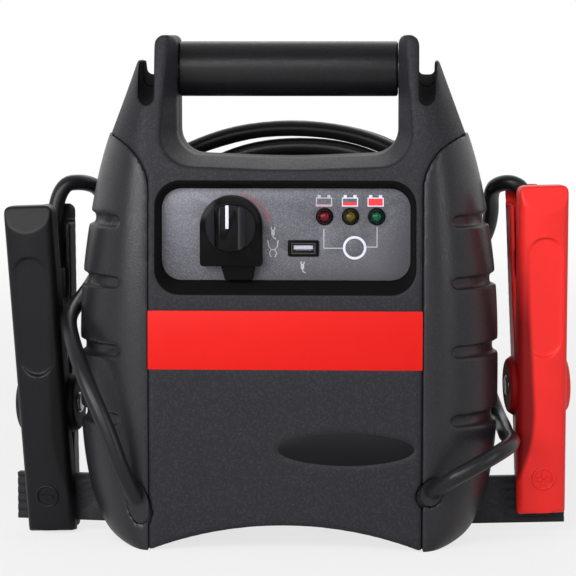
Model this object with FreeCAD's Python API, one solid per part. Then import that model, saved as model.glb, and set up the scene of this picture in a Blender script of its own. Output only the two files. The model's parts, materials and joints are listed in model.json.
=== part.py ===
"""Portable jump starter pack: moulded case with carry grip, recessed control panel, two rubber side bumpers,
two battery clamps parked on side lugs, and two leads that are wound behind the case. Millimetres, +Z up,
front is -Y, origin on the floor under the middle of the case."""

import FreeCAD
import Part

import math
import os

V = FreeCAD.Vector

# Case: overall sizes and the lean of its front and back
case_height = 286.0
case_half_width = 119.0
case_depth = 104.0
half_depth = case_depth / 2
lean_start = case_height - 166.0
lean_radius = 650.0
shell_wall = 3.0
seam_half = 76.0
seam_top = case_height - 86.0
seam_end_x = case_half_width - 19.5
seam_end_z = case_height - 56.0
arch_rise = 14.0

# Carry window, posts and the hooks beside them
window_half = 62.0
window_floor = case_height - 68.7
window_bow = 2.3
window_corner = 14.0
window_splay_side = 8.0
window_splay_floor = 5.0
splay_depth = 22.0
post_thick = 11.6
hook_tip_z = case_height - 13.5
hook_tip_thick = 2.0
notch_width = 8.8
notch_front_z = case_height - 39.0
notch_slope = 0.245
splay_lead = 10.0

# Bumpers
bumper_skin = 6.0
bumper_gap = 0.4
# height and inset from the full half width; the upper rows count their height from the end of the seam
bumper_low_levels = [(0.0, 26.0), (6.0, 16.2), (14.0, 11.4), (26.0, 6.8), (42.0, 3.2), (60.0, 1.0),
                     (80.0, 0.1), (100.0, 0.0)]
bumper_high_levels = [(-110.0, 0.2), (-90.0, 1.0), (-70.0, 2.8), (-50.0, 5.6), (-30.0, 9.2), (-14.0, 13.0),
                      (2.0, 18.0)]
shoulder_rows = [(-40.0, 7.2), (-26.0, 10.0), (-12.0, 13.6), (2.0, 18.6), (16.0, 24.2), (30.0, 29.5),
                 (44.0, 34.7)]
bumper_levels = [(z, case_half_width - inset) for z, inset in bumper_low_levels]
bumper_levels += [(seam_end_z + z, case_half_width - inset) for z, inset in bumper_high_levels]
shoulder_levels = [(seam_end_z + z, case_half_width - inset) for z, inset in shoulder_rows]
bumper_top = seam_end_z + 1.5
groove_levels = [72.5, 111.0, 149.0, 183.0]
groove_height = 6.8
groove_depth = 3.2
groove_start = case_half_width - 27.0

# Battery, 12 V block of the common 151 x 65 x 94 size
battery_size = (151.0, 65.0, 88.0)
battery_lid_height = 6.0
battery_floor = 20.0
terminal_size = (12.0, 12.0, 8.0)
terminal_x = battery_size[0] / 2 - 15.5
terminal_y = -20.0

# Control panel
recess_half = 71.6
recess_high = window_floor - 12.1
recess_low = recess_high - 61.6
panel_half = 69.5
panel_low = recess_low + 6.4
panel_high = recess_high - 3.8
panel_face_y = 14.0 - half_depth
panel_thick = 1.2
panel_corner = 11.5
dial_x = -30.0
dial_z = panel_high - 21.0
knob_radius = 14.3
shroud_radius = knob_radius + 3.0
shroud_height = 10.0
shroud_floor_z = dial_z - 21.9
tongue_floor_z = panel_low + 0.4
switch_depth = 24.0
knob_disc = 4.6
knob_bar_width = 8.8
knob_bar_height = 7.0
shaft_radius = 3.0
led_places = [("red_led", 21.4), ("yellow_led", 35.8), ("green_led", 50.3)]
led_z = panel_high - 15.7
led_radius = 4.0
button_x = 38.1
button_z = panel_low + 18.3
button_radius = 4.9
button_travel = 0.8
usb_x = 9.7
usb_z = panel_low + 18.0
usb_can = (13.1, 5.7, 14.0)
usb_frame = (17.2, 9.1)
board_y = panel_face_y + 8.0
board_thick = 1.6
board_left = -3.0
board_right = 61.0
board_low = panel_low + 6.0
board_high = panel_high - 1.4
standoff_inset = 3.0

# Red band and oval badge
band_high = recess_low - 9.4
band_low = band_high - 32.7
badge_x = 33.8
badge_z = 57.2
badge_long = 38.5
badge_short = 9.5

# Carry grip
grip_radius = 15.5
grip_z = case_height - 19.0
core_radius = 11.0
core_bore = 8.0
core_seat = 9.0

# Screws, charging inlet and the bushes that the leads leave through
screw_x = 66.0
screw_levels = [recess_low - 9.6, recess_high + 0.8]
screw_places = [(s * screw_x, z) for z in screw_levels for s in (-1, 1)] + [(-62.0, 12.5), (62.0, 12.5)]
screw_post = 4.6
screw_head = 3.5
screw_shank = 1.75
inlet_x = 46.0
inlet_z = 40.0
inlet_radius = 6.0
inlet_flange = 8.5
gland_radius = 6.6
gland_starts = {"left": (V(-83.0, -half_depth, 29.0), V(-0.33, -0.5, 0.8)),
                "right": (V(82.0, -half_depth, 34.0), V(0.5, -0.72, 0.48))}

# Clamps, in their own frame: jaw tips at 0, pivot on the X axis, front handle towards -Y
clamp_length = 189.0
clamp_half = 14.0
clamp_wall = 3.0
pivot_z = 73.0
pin_radius = 3.5
boss_radius = 17.2
boss_proud = 3.2
inner_half = 10.8
inner_wall = 2.6
clamp_yaw = 8.5
clamp_places = {"left": (-case_half_width - 19.3, 15.0, 1.0, 2.3),
                "right": (case_half_width + 22.6, 15.0, 13.0, -1.1)}
boot_radius = 5.6
boot_foot = V(0, 19.2, 138.0)
boot_mouth = V(0, 22.6, 168.0)

# Lugs that the clamps bite
lug_thick = 6.0
lug_low = 6.5
lug_high = 33.5
lug_reach = case_half_width + 39.0
lug_root = case_half_width - 31.0
jaw_gap = 0.3

# Leads
lead_radius = 4.6
lead_pitch = 2 * lead_radius + 1.0
lead_layer = half_depth + lead_radius + 2.4
run_gap = 0.1
coil_step = 30.0
coil_sweeps = {"left": (150.0, -540.0), "right": (30.0, 690.0)}
coil_shapes = {"left": (-1.0, 149.5, 105.0, 82.0, 150.0), "right": (4.0, 150.0, 88.0, 71.0, 125.0)}

cleat_half = 34.0
cleat_back = lead_layer + 29.0
cleat_lip = 3.0
cleat_root = half_depth - 22.0
clearance = 0.1
face_gap = 0.05


def rounded(points, plane="xz", level=0.0):
    """Closed wire through (u, v, radius) corners, each rounded by a tangent arc."""
    def place(u, v):
        if plane == "xz":
            return V(u, level, v)
        if plane == "xy":
            return V(u, v, level)
        return V(level, u, v)
    count = len(points)
    cuts = []
    for i, (u, v, r) in enumerate(points):
        before = points[i - 1]
        after = points[(i + 1) % count]
        a = V(before[0] - u, before[1] - v, 0).normalize()
        b = V(after[0] - u, after[1] - v, 0).normalize()
        corner = V(u, v, 0)
        if r == 0:
            cuts.append((corner, None, corner))
            continue
        half = a.getAngle(b) / 2
        run = r / math.tan(half)
        middle = corner + (a + b).normalize() * (r / math.sin(half) - r)
        cuts.append((corner + a * run, middle, corner + b * run))
    edges = []
    for i, (start, middle, end) in enumerate(cuts):
        if middle is not None:
            edges.append(Part.Arc(place(*start[:2]), place(*middle[:2]), place(*end[:2])).toShape())
        following = cuts[(i + 1) % count][0]
        if (following - end).Length > 1e-6:
            edges.append(Part.LineSegment(place(*end[:2]), place(*following[:2])).toShape())
    return Part.Wire(edges)


def prism(points, low, high, plane="xz"):
    """Solid between two levels across the plane of the outline."""
    across = {"xz": V(0, high - low, 0), "xy": V(0, 0, high - low), "yz": V(high - low, 0, 0)}[plane]
    return Part.Face(rounded(points, plane, low)).extrude(across)


def box(x0, x1, y0, y1, z0, z1):
    return Part.makeBox(x1 - x0, y1 - y0, z1 - z0, V(x0, y0, z0))


def rod(radius, start, end):
    return Part.makeCylinder(radius, (end - start).Length, start, end - start)


def rectangle(x0, x1, z0, z1, r):
    return [(x0, z0, r), (x1, z0, r), (x1, z1, r), (x0, z1, r)]


def mirror(shape):
    return shape.mirror(V(0, 0, 0), V(1, 0, 0))


def front_sag(z):
    """How far the front has leaned back at height z."""
    rise = max(0.0, z - lean_start)
    return lean_radius - math.sqrt(lean_radius ** 2 - rise ** 2)


def side_prism(inset, low, high):
    """The case seen from the side, as a block across X: upright walls that lean in above lean_start."""
    radius = lean_radius - inset
    top = math.asin((high - lean_start) / radius)

    def at(angle):
        return half_depth - lean_radius + radius * math.cos(angle), lean_start + radius * math.sin(angle)

    y_mid, z_mid = at(top / 2)
    y_top, z_top = at(top)
    foot = half_depth - inset
    edges = [Part.LineSegment(V(-150, -foot, low), V(-150, -foot, lean_start)).toShape(),
             Part.Arc(V(-150, -foot, lean_start), V(-150, -y_mid, z_mid), V(-150, -y_top, z_top)).toShape(),
             Part.LineSegment(V(-150, -y_top, z_top), V(-150, y_top, z_top)).toShape(),
             Part.Arc(V(-150, y_top, z_top), V(-150, y_mid, z_mid), V(-150, foot, lean_start)).toShape(),
             Part.LineSegment(V(-150, foot, lean_start), V(-150, foot, low)).toShape(),
             Part.LineSegment(V(-150, foot, low), V(-150, -foot, low)).toShape()]
    return Part.Face(Part.Wire(edges)).extrude(V(300, 0, 0))


def case_outline():
    """Front view of the case inside the seams: arch, seams, hooks, posts and the open carry window."""
    arch_radius = (seam_half ** 2 + arch_rise ** 2) / (2 * arch_rise)
    arch_angle = math.asin(seam_half / arch_radius)
    seam_slope = 2 * math.atan2(seam_end_x - seam_half, seam_end_z - seam_top)
    seam_tangent = (seam_end_z - seam_top) / (1 + math.cos(seam_slope))
    seam_radius = seam_tangent / math.tan(seam_slope / 2)
    post_out = window_half + post_thick
    notch_out = post_out + notch_width
    shelf = hook_tip_z - 9.0
    right = [(seam_half, 0, 0), (seam_half, seam_top + seam_tangent, seam_radius * 0.98),
             (seam_end_x + 0.6, seam_end_z, 0),
             (notch_out + hook_tip_thick, hook_tip_z, 0.9), (notch_out, hook_tip_z, 0.9),
             (notch_out, shelf, 0), (post_out, shelf, 0), (post_out, case_height, 5.5),
             (window_half, case_height, 4.5), (window_half, window_floor + window_bow, window_corner)]
    left = [(-x, z, r) for x, z, r in reversed(right)]
    bow = [(0, window_floor - window_bow / 8, window_half ** 2 / (4 * window_bow))]
    arch = [(0, seam_half * math.tan(arch_angle), arch_radius * 0.985)]
    return right + bow + left + arch


def bumper_section(z, width, inset, front=0.0):
    """Plan view of a bumper at height z: from the seam round the side and back to the seam."""
    y = half_depth - front_sag(z) - inset
    x = width - inset
    bulge = 0.6
    root = 60.0
    depth = x - seam_half

    def quarter(sign):
        poles = [V(seam_half, sign * y, z), V(seam_half + bulge * depth, sign * y, z),
                 V(x, sign * y * (1 - bulge), z), V(x, 0, z)]
        curve = Part.BezierCurve()
        curve.setPoles(poles if sign < 0 else poles[::-1])
        return curve.toShape()

    return Part.Wire([Part.LineSegment(V(root, -y, z), V(seam_half, -y, z)).toShape(),
                      quarter(-1), quarter(1),
                      Part.LineSegment(V(seam_half, y, z), V(root, y, z)).toShape(),
                      Part.LineSegment(V(root, y, z), V(root, -y, z)).toShape()])


def bumper_form(inset, low, high):
    """Lofted side form, cut to the heights asked for."""
    sections = [bumper_section(z, width, inset) for z, width in bumper_levels]
    form = Part.makeLoft(sections, True, False)
    return form.common(box(0, 200, -80, 80, low, high))


def bumper_width(z):
    """Half width of the case at height z, straight between the levels."""
    for (z0, w0), (z1, w1) in zip(bumper_levels, bumper_levels[1:]):
        if z0 <= z <= z1:
            return w0 + (w1 - w0) * (z - z0) / (z1 - z0)
    raise ValueError("height off the bumper")


def groove_cutter(z):
    """Band round the side, as deep as groove_depth, whose front and back ends are round."""
    low = z - groove_height / 2
    keep = Part.Face(bumper_section(z, bumper_width(z), groove_depth)).extrude(V(0, 0, groove_height + 4))
    keep.translate(V(0, 0, -groove_height / 2 - 2))
    reach = prism(rectangle(groove_start, 150, low, low + groove_height, 0), -80, 80)
    ends = prism([(groove_start, low, groove_height * 0.49), (150, low, 0), (150, low + groove_height, 0),
                  (groove_start, low + groove_height, groove_height * 0.49)], -80, 80)
    return reach.common(ends).cut(keep)


def case_parts():
    """Front and rear shell, the two bumpers, band, badge, and the holes that everything else sits in."""
    outline = case_outline()
    core = prism(outline, -80, 80)
    outer = side_prism(0.0, -1.0, case_height + 20)
    sections = [bumper_section(z, width, -face_gap) for z, width in shoulder_levels]
    shoulder = Part.makeLoft(sections, True, False)
    limit = box(-seam_half, seam_half, -80, 80, -5, case_height + 5).fuse(shoulder).fuse(mirror(shoulder))
    body = core.common(outer).common(limit)
    side = bumper_form(bumper_skin + bumper_gap, 2.0, bumper_top - 5.5)
    side = side.common(box(seam_half - 1, 200, -80, 80, 0, 400))
    for wing in (side, mirror(side)):
        body = body.fuse(wing)
    body = body.removeSplitter()

    # carry window: the wall opens towards the front and the back
    def window_wire(y, side_grow, floor_grow):
        half = window_half + side_grow
        floor = window_floor - floor_grow
        corner = window_corner + side_grow * 0.6
        return rounded([(half, case_height + 30, 0), (half, floor + window_bow, corner),
                        (0, floor - window_bow / 8, half ** 2 / (4 * window_bow)),
                        (-half, floor + window_bow, corner), (-half, case_height + 30, 0)], "xz", y)

    throat = half_depth - splay_lead - splay_depth
    rim = half_depth + 8
    grow = (rim - throat) / splay_depth
    for sign in (-1, 1):
        splay = Part.makeLoft([window_wire(sign * throat, 0.0, 0.0),
                               window_wire(sign * rim, window_splay_side * grow, window_splay_floor * grow)],
                              True, True)
        body = body.cut(splay)

    # hook notches rise towards the back
    notch_mid = window_half + post_thick + notch_width / 2
    half = notch_width / 2
    for sign in (-1, 1):
        floor = notch_front_z - notch_slope * 40
        left, right = sign * notch_mid - half, sign * notch_mid + half
        lines = [(left, case_height + 60, 0), (left, floor, half * 0.98),
                 (right, floor, half * 0.98), (right, case_height + 60, 0)]
        body = body.cut(Part.Face(rounded(lines, "xz", -80)).extrude(V(0, 160, 160 * notch_slope)))

    # inside space, left full round the control panel
    room_half = seam_half - shell_wall
    room_floor = battery_floor - 0.3
    room = prism([(room_half, room_floor, 3), (room_half, window_floor - 10.3, 8),
                  (-room_half, window_floor - 10.3, 8), (-room_half, room_floor, 3)], -80, 80)
    room = room.common(side_prism(shell_wall, -1.0, case_height + 20))
    side_half = seam_half + shell_wall
    room = room.fuse(box(-side_half, side_half, -40, 40, room_floor, seam_top - 10.0))
    wing = bumper_form(bumper_skin + bumper_gap + shell_wall, 42.0, seam_top - 4.0)
    room = room.fuse(wing).fuse(mirror(wing))
    tub_back = panel_face_y + panel_thick + shell_wall
    tub = prism(rectangle(-recess_half - shell_wall, recess_half + shell_wall, recess_low - shell_wall,
                          recess_high + 2, panel_corner), -80, tub_back)
    hollow = room.cut(tub)
    for x in (-screw_x, screw_x):
        for z in screw_levels:
            hollow = hollow.cut(rod(screw_post, V(x, -80, z), V(x, 80, z)))
    body = body.cut(hollow)

    mouth = rectangle(-recess_half, recess_half, recess_low, recess_high, panel_corner + 1)
    seat = rectangle(-panel_half, panel_half, panel_low, panel_high, panel_corner)
    pocket = Part.makeLoft([rounded(mouth, "xz", -half_depth - 1),
                            rounded(seat, "xz", panel_face_y + panel_thick)], True, True)
    body = body.cut(pocket)

    # lead holes, lug slots and the grip core's seats
    for sign, name in ((-1, "left"), (1, "right")):
        body = body.cut(gland_hole(name, gland_radius + clearance))
        body = body.cut(lug_solid(sign, 0.1))
    seat_reach = window_half + core_seat
    body = body.cut(rod(core_radius + face_gap, V(-seat_reach, 0, grip_z), V(seat_reach, 0, grip_z)))

    # control openings through the panel floor
    body = body.cut(rod(shaft_radius + 1.0, V(dial_x, -60, dial_z), V(dial_x, -20, dial_z)))
    for _, x in led_places:
        body = body.cut(rod(led_radius + 0.2, V(x, -60, led_z), V(x, -20, led_z)))
    body = body.cut(rod(button_radius + clearance, V(button_x, -60, button_z), V(button_x, -20, button_z)))
    body = body.cut(box(usb_x - usb_can[0] / 2 - clearance, usb_x + usb_can[0] / 2 + clearance, -60, -20,
                        usb_z - usb_can[1] / 2 - clearance, usb_z + usb_can[1] / 2 + clearance))

    # band and badge seats in the front
    band = side_prism(-0.3, -1.0, case_height).cut(side_prism(0.5, -2.0, case_height + 1))
    band = band.common(box(-seam_half, seam_half, -80, 0, band_low, band_high))
    body = body.cut(band)
    oval = Part.Ellipse(V(badge_x, -half_depth - 5, badge_z), badge_long, badge_short)
    oval.Axis = V(0, 1, 0)
    oval.XAxis = V(1, 0, 0)
    seat = Part.Face(Part.Wire([oval.toShape()])).extrude(V(0, 6.8, 0))
    body = body.cut(seat)
    inner = Part.Ellipse(V(badge_x, -half_depth + 0.7, badge_z), badge_long - 0.1, badge_short - 0.1)
    inner.Axis = V(0, 1, 0)
    inner.XAxis = V(1, 0, 0)
    badge = Part.Face(Part.Wire([inner.toShape()])).extrude(V(0, 1.1, 0))

    # screws from the back
    screws = []
    for x, z in screw_places:
        y_back = half_depth - front_sag(z) - 2.5
        body = body.cut(rod(screw_head + clearance, V(x, y_back, z), V(x, 80, z)))
        body = body.cut(rod(screw_shank + face_gap, V(x, -14, z), V(x, 80, z)))
        head = rod(screw_head, V(x, y_back, z), V(x, y_back + 2.2, z))
        head = head.fuse(rod(screw_shank, V(x, -13, z), V(x, y_back + 1, z)))
        head = head.cut(box(x - 2.4, x + 2.4, y_back + 1.2, y_back + 3, z - 0.5, z + 0.5))
        head = head.cut(box(x - 0.5, x + 0.5, y_back + 1.2, y_back + 3, z - 2.4, z + 2.4))
        screws.append(head)

    # charging inlet in the back
    inlet_start = V(inlet_x, half_depth - 32.0, inlet_z)
    body = body.cut(rod(inlet_radius + clearance, inlet_start, V(inlet_x, 90, inlet_z)))

    front = body.common(box(-200, 200, -90, 0, -5, 400))
    rear = body.common(box(-200, 200, 0, 90, -5, 400))

    # board standoffs on the back of the panel floor
    for x in (board_left + standoff_inset, board_right - standoff_inset):
        for z in (board_low + 4.0, board_high - standoff_inset):
            front = front.fuse(rod(2.5, V(x, tub_back - 0.5, z), V(x, board_y, z)))

    skin = bumper_form(0.0, 0.0, bumper_top).cut(bumper_form(bumper_skin, 1.8, bumper_top - 5.3)).cut(core)
    skin = skin.common(box(seam_half, 200, -80, 80, -5, 400))
    bumpers = {}
    for sign, name in ((-1, "left"), (1, "right")):
        piece = skin
        for z in groove_levels:
            piece = piece.cut(groove_cutter(z))
        if sign < 0:
            piece = mirror(piece)
        bumpers[name] = piece.cut(gland_hole(name, gland_radius + clearance)).cut(lug_solid(sign, 0.1))
    return front, rear, bumpers, band, badge, screws


def gland_axis(name):
    start, way = gland_starts[name]
    return start, V(way).normalize()


def gland_hole(name, radius):
    start, way = gland_axis(name)
    return rod(radius, start - way * 24, start + way * 14)


def gland(name):
    """Rubber bush round the lead: a flanged plug in the slanted hole, its mouth level with the case."""
    start, way = gland_axis(name)
    return rod(gland_radius, start - way * 16, start + way * 1.0)


def lug_solid(sign, grow):
    """Ridged plate that a clamp bites, swept back from the side of the case."""
    half = lug_thick / 2 + grow
    plate = box(lug_root - grow, lug_reach, -half, half, lug_low - grow, lug_high + grow)
    if grow == 0:
        for z in (10.5, 15.5, 20.5, 25.5, 30.5):
            for y in (-1, 1):
                side = y * lug_thick / 2
                plate = plate.cut(box(lug_reach - 34, lug_reach + 1, side - 0.6, side + 0.6,
                                      z - 0.9, z + 0.9))
    place_x, place_y = clamp_places["right" if sign > 0 else "left"][:2]
    plate.rotate(V(abs(place_x), 0, 0), V(0, 0, 1), clamp_yaw)
    plate.translate(V(0, place_y, 0))
    return plate if sign > 0 else mirror(plate)


def handle_parts():
    reach = window_half + core_seat - 0.2
    core = rod(core_radius, V(-reach, 0, grip_z), V(reach, 0, grip_z)).cut(
        rod(core_bore, V(-reach - 1, 0, grip_z), V(reach + 1, 0, grip_z)))
    half = window_half - 0.2
    grip = rod(grip_radius, V(-half, 0, grip_z), V(half, 0, grip_z))
    grip = grip.makeFillet(1.6, [e for e in grip.Edges if e.Curve.TypeId == "Part::GeomCircle"])
    grip = grip.cut(rod(core_radius + 0.05, V(-half - 1, 0, grip_z), V(half + 1, 0, grip_z)))
    return core, grip


def control_parts():
    """Everything on and behind the silver panel."""
    parts = {}
    face = panel_face_y
    plate = prism(rectangle(-panel_half + 0.1, panel_half - 0.1, panel_low + 0.1, panel_high - 0.1,
                            panel_corner - 0.1), face, face + panel_thick)
    plate = plate.cut(rod(shaft_radius + 1.0, V(dial_x, -60, dial_z), V(dial_x, -20, dial_z)))
    plate = plate.cut(rod(button_radius + clearance, V(button_x, -60, button_z), V(button_x, -20, button_z)))
    plate = plate.cut(box(usb_x - usb_can[0] / 2 - clearance, usb_x + usb_can[0] / 2 + clearance, -60, -20,
                          usb_z - usb_can[1] / 2 - clearance, usb_z + usb_can[1] / 2 + clearance))
    for name, x in led_places:
        plate = plate.cut(rod(led_radius + 0.2, V(x, -60, led_z), V(x, -20, led_z)))
        dome = Part.makeSphere(led_radius, V(x, face - 1.2, led_z))
        body = rod(led_radius, V(x, face - 1.2, led_z), V(x, board_y, led_z))
        parts[name] = body.fuse(dome).removeSplitter()
    parts["control_panel"] = plate

    # shroud under the knob: round above, square below, with a locking tongue that reaches the recess wall
    r = shroud_radius
    shroud = prism([(dial_x - r, dial_z + r, r * 0.995), (dial_x - r, shroud_floor_z, 2.0),
                    (dial_x + r, shroud_floor_z, 2.0), (dial_x + r, dial_z + r, r * 0.995)],
                   face - shroud_height, face)
    tongue = prism([(dial_x - 6.5, shroud_floor_z + 2, 0), (dial_x - 3.5, tongue_floor_z, 1.5),
                    (dial_x + 12.0, tongue_floor_z, 1.5), (dial_x + 13.5, shroud_floor_z + 2, 0)],
                   face - 6.0, face)
    shroud = shroud.fuse(tongue)
    shroud = shroud.cut(rod(shaft_radius + 0.6, V(dial_x, -60, dial_z), V(dial_x, -20, dial_z)))
    parts["switch_shroud"] = shroud

    # knob: chamfered disc with a raised finger bar, and the white pointer let into the bar
    disc_back = face - shroud_height - 0.3
    disc_front = disc_back - knob_disc
    bar_front = disc_front - knob_bar_height
    knob = rod(knob_radius, V(dial_x, disc_back, dial_z), V(dial_x, disc_front + 1.0, dial_z))
    rim = Part.makeCone(knob_radius, knob_radius - 1.0, 1.0, V(dial_x, disc_front + 1.0, dial_z),
                        V(0, -1, 0))
    knob = knob.fuse(rim)
    bar_round = rod(knob_radius - 1.4, V(dial_x, disc_front, dial_z), V(dial_x, bar_front, dial_z))
    bar_half = knob_bar_width / 2
    bar = prism([(dial_x - bar_half - 1.2, disc_front + 0.5, 0),
                 (dial_x + bar_half + 1.2, disc_front + 0.5, 0),
                 (dial_x + bar_half, bar_front, 1.2), (dial_x - bar_half, bar_front, 1.2)],
                dial_z - knob_radius, dial_z + knob_radius, "xy")
    bar = bar.common(bar_round)
    knob = knob.fuse(bar).removeSplitter()
    pointer_low = dial_z - 0.4
    left, right, high = dial_x - 0.95, dial_x + 0.95, dial_z + 12.2
    pointer = box(left, right, bar_front - 0.05, bar_front + 1.0, pointer_low, high)
    knob = knob.cut(box(left, right, bar_front - 1, bar_front + 1.0, pointer_low, high))
    shaft_front = disc_back - 3.0
    switch_front = face + panel_thick + shell_wall
    knob = knob.cut(rod(shaft_radius, V(dial_x, disc_back + 1, dial_z), V(dial_x, shaft_front, dial_z)))
    parts["power_knob"] = knob
    parts["knob_pointer"] = pointer
    shaft_back = switch_front + 4.0
    parts["switch_shaft"] = rod(shaft_radius, V(dial_x, shaft_front, dial_z), V(dial_x, shaft_back, dial_z))
    switch = rod(17.0, V(dial_x, switch_front, dial_z), V(dial_x, switch_front + switch_depth, dial_z))
    shaft_hole = rod(shaft_radius + face_gap, V(dial_x, switch_front - 1, dial_z),
                     V(dial_x, shaft_back + 0.3, dial_z))
    switch = switch.cut(shaft_hole)
    parts["switch_body"] = switch

    # usb socket: black frame, metal can and tongue
    w, h, d = usb_can
    frame = prism(rectangle(usb_x - usb_frame[0] / 2, usb_x + usb_frame[0] / 2, usb_z - usb_frame[1] / 2,
                            usb_z + usb_frame[1] / 2, 0.8), face - 1.0, face)
    frame = frame.cut(box(usb_x - w / 2 - clearance, usb_x + w / 2 + clearance, -60, -20,
                          usb_z - h / 2 - clearance,
                          usb_z + h / 2 + clearance))
    parts["usb_frame"] = frame
    can_front = face - 0.9
    can = box(usb_x - w / 2, usb_x + w / 2, can_front, can_front + d, usb_z - h / 2, usb_z + h / 2)
    can = can.cut(box(usb_x - w / 2 + 0.3, usb_x + w / 2 - 0.3, can_front - 1, can_front + d - 0.4,
                      usb_z - h / 2 + 0.3, usb_z + h / 2 - 0.3))
    parts["usb_can"] = can
    parts["usb_tongue"] = box(usb_x - 5.6, usb_x + 5.6, can_front + 1.0, can_front + d - 0.4,
                              usb_z + 0.3, usb_z + 2.1)

    # button: cap level with the panel, on a stem that stops short of the board
    cap = rod(button_radius, V(button_x, face - 0.6, button_z), V(button_x, face + 3.4, button_z))
    stem = rod(2.0, V(button_x, face + 3.0, button_z), V(button_x, board_y - button_travel - 0.2, button_z))
    parts["test_button"] = cap.fuse(stem)

    board = box(board_left, board_right, board_y, board_y + board_thick, board_low, board_high)
    board = board.cut(box(usb_x - w / 2 - clearance, usb_x + w / 2 + clearance, -60, 0,
                          usb_z - h / 2 - clearance,
                          usb_z + h / 2 + clearance))
    parts["circuit_board"] = board
    return parts


def battery_parts():
    w, d, h = battery_size
    top = battery_floor + h
    case = prism(rectangle(-w / 2, w / 2, -d / 2, d / 2, 3.0), battery_floor, top, "xy")
    lid = prism(rectangle(-w / 2, w / 2, -d / 2, d / 2, 3.0), top, top + battery_lid_height, "xy")
    post_low = top + battery_lid_height
    tx, ty, th = terminal_size
    posts = [box(s * terminal_x - tx / 2, s * terminal_x + tx / 2, terminal_y - ty / 2, terminal_y + ty / 2,
                 post_low, post_low + th) for s in (-1, 1)]
    strip_z = post_low + th
    bus_back = panel_face_y + panel_thick + shell_wall + switch_depth
    link = box(-terminal_x - tx / 2, dial_x + 6, terminal_y - ty / 2, bus_back + 2, strip_z, strip_z + 2)
    riser = box(dial_x - 6, dial_x + 6, bus_back, bus_back + 2, strip_z, dial_z - 6)
    link = link.fuse(riser).removeSplitter()
    return case, lid, Part.Compound(posts), link


def cleats():
    """Two arched shelves with lips on the back of the case; the leads are wound round them."""
    cx, cz, wide, tall, radius = coil_shapes["right"]
    shelf = radius - lead_radius - 0.4
    left, right = cx - cleat_half, cx + cleat_half
    result = []
    for sign in (1, -1):
        hub = V(cx, 0, cz + sign * (tall - radius))
        outer = rod(shelf, V(hub.x, cleat_root, hub.z), V(hub.x, cleat_back, hub.z))
        inner = rod(shelf - 4, V(hub.x, cleat_root - 10, hub.z), V(hub.x, cleat_back + 10, hub.z))
        lip = rod(shelf + 8, V(hub.x, cleat_back - cleat_lip, hub.z), V(hub.x, cleat_back, hub.z))
        edge = cz + sign * (tall - 18)
        far_edge = edge + sign * 60
        window = box(left, right, 0, cleat_back + 12, min(edge, far_edge), max(edge, far_edge))
        arch = outer.fuse(lip).cut(inner).common(window)
        below = rod(shelf, V(hub.x, cleat_root - 10, hub.z), V(hub.x, cleat_back + 10, hub.z))
        web = box(cx - 2, cx + 2, cleat_root, cleat_back - cleat_lip, min(edge, edge + sign * 11),
                  max(edge, edge + sign * 11))
        plate = box(left, right, cleat_root, cleat_back, min(edge - 2, edge + sign * 14),
                    max(edge + 2, edge + sign * 14))
        plate = plate.common(side_prism(-3.0, 0, case_height))
        piece = arch.fuse(plate.common(below)).fuse(web.common(below))
        result.append(piece.cut(side_prism(-clearance, -1, case_height + 20)).removeSplitter())
    return result


def clamp_profile():
    """Side view of a clamp half as (y, z): outer line and the open inner edge."""
    return [(-13.0, 0.0, 2.5), (-16.5, 32.0, 30.0), (-19.5, pivot_z, 60.0), (-26.0, 118.0, 60.0),
            (-34.0, clamp_length, 5.0), (-19.0, clamp_length, 2.0), (-13.0, 120.0, 40.0), (-8.0, 90.0, 8.0),
            (-8.0, 56.0, 8.0), (-5.6, 44.0, 4.0), (-5.6, 0.0, 0.0)]


def channel_profile(wall):
    outer = [(-13.0, 2.5, 0.0), (-16.5, 32.0, 30.0), (-19.5, pivot_z, 60.0), (-26.0, 118.0, 60.0),
             (-34.0, clamp_length - 3.0, 3.0)]
    moved = [(y + wall, z, r) for y, z, r in outer]
    return moved + [(40.0, clamp_length - 3.0, 0.0), (40.0, 2.5, 0.0)]


def handle_half(half, wall, front):
    """One moulded handle with its jaw end, open towards the other half."""
    shape = prism(clamp_profile(), -half, half, "yz")
    if front:
        for sign in (-1, 1):
            boss = Part.makeCone(boss_radius, boss_radius - 2.2, boss_proud, V(sign * half, 0, pivot_z),
                                 V(sign, 0, 0))
            ear = rod(boss_radius, V(sign * (half - wall), 0, pivot_z), V(sign * half, 0, pivot_z))
            shape = shape.fuse(ear).fuse(boss)
    else:
        ear = rod(9.5, V(-half, 0, pivot_z), V(half, 0, pivot_z))
        shape = shape.fuse(ear)
    shape = shape.cut(prism(channel_profile(wall), -half + wall, half - wall, "yz"))
    hole = pin_radius + (0.05 if front else 0.02)
    shape = shape.cut(rod(hole, V(-40, 0, pivot_z), V(40, 0, pivot_z)))
    if not front:
        shape = shape.cut(box(-half - 1, half + 1, -31.2, 0, clamp_length - 13, clamp_length + 5))
        shape = shape.rotate(V(0, 0, 0), V(0, 0, 1), 180)
    return shape.removeSplitter()


def jaw(half, front):
    """Metal jaw: toothed plate held between the cheeks at the biting end."""
    face = lug_thick / 2 + jaw_gap
    teeth = [(-face - 4.0, 3.2, 0), (-face - 1.4, 3.2, 0)]
    step = 4.4
    for i in range(8):
        z = 3.8 + i * step
        teeth.append((-face, z + step / 2, 0))
        teeth.append((-face - 1.4, z + step, 0))
    teeth.append((-face - 4.0, 3.8 + 8 * step, 0))
    shape = prism(teeth, -half, half, "yz")
    if not front:
        shape = shape.rotate(V(0, 0, 0), V(0, 0, 1), 180)
    return shape


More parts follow.
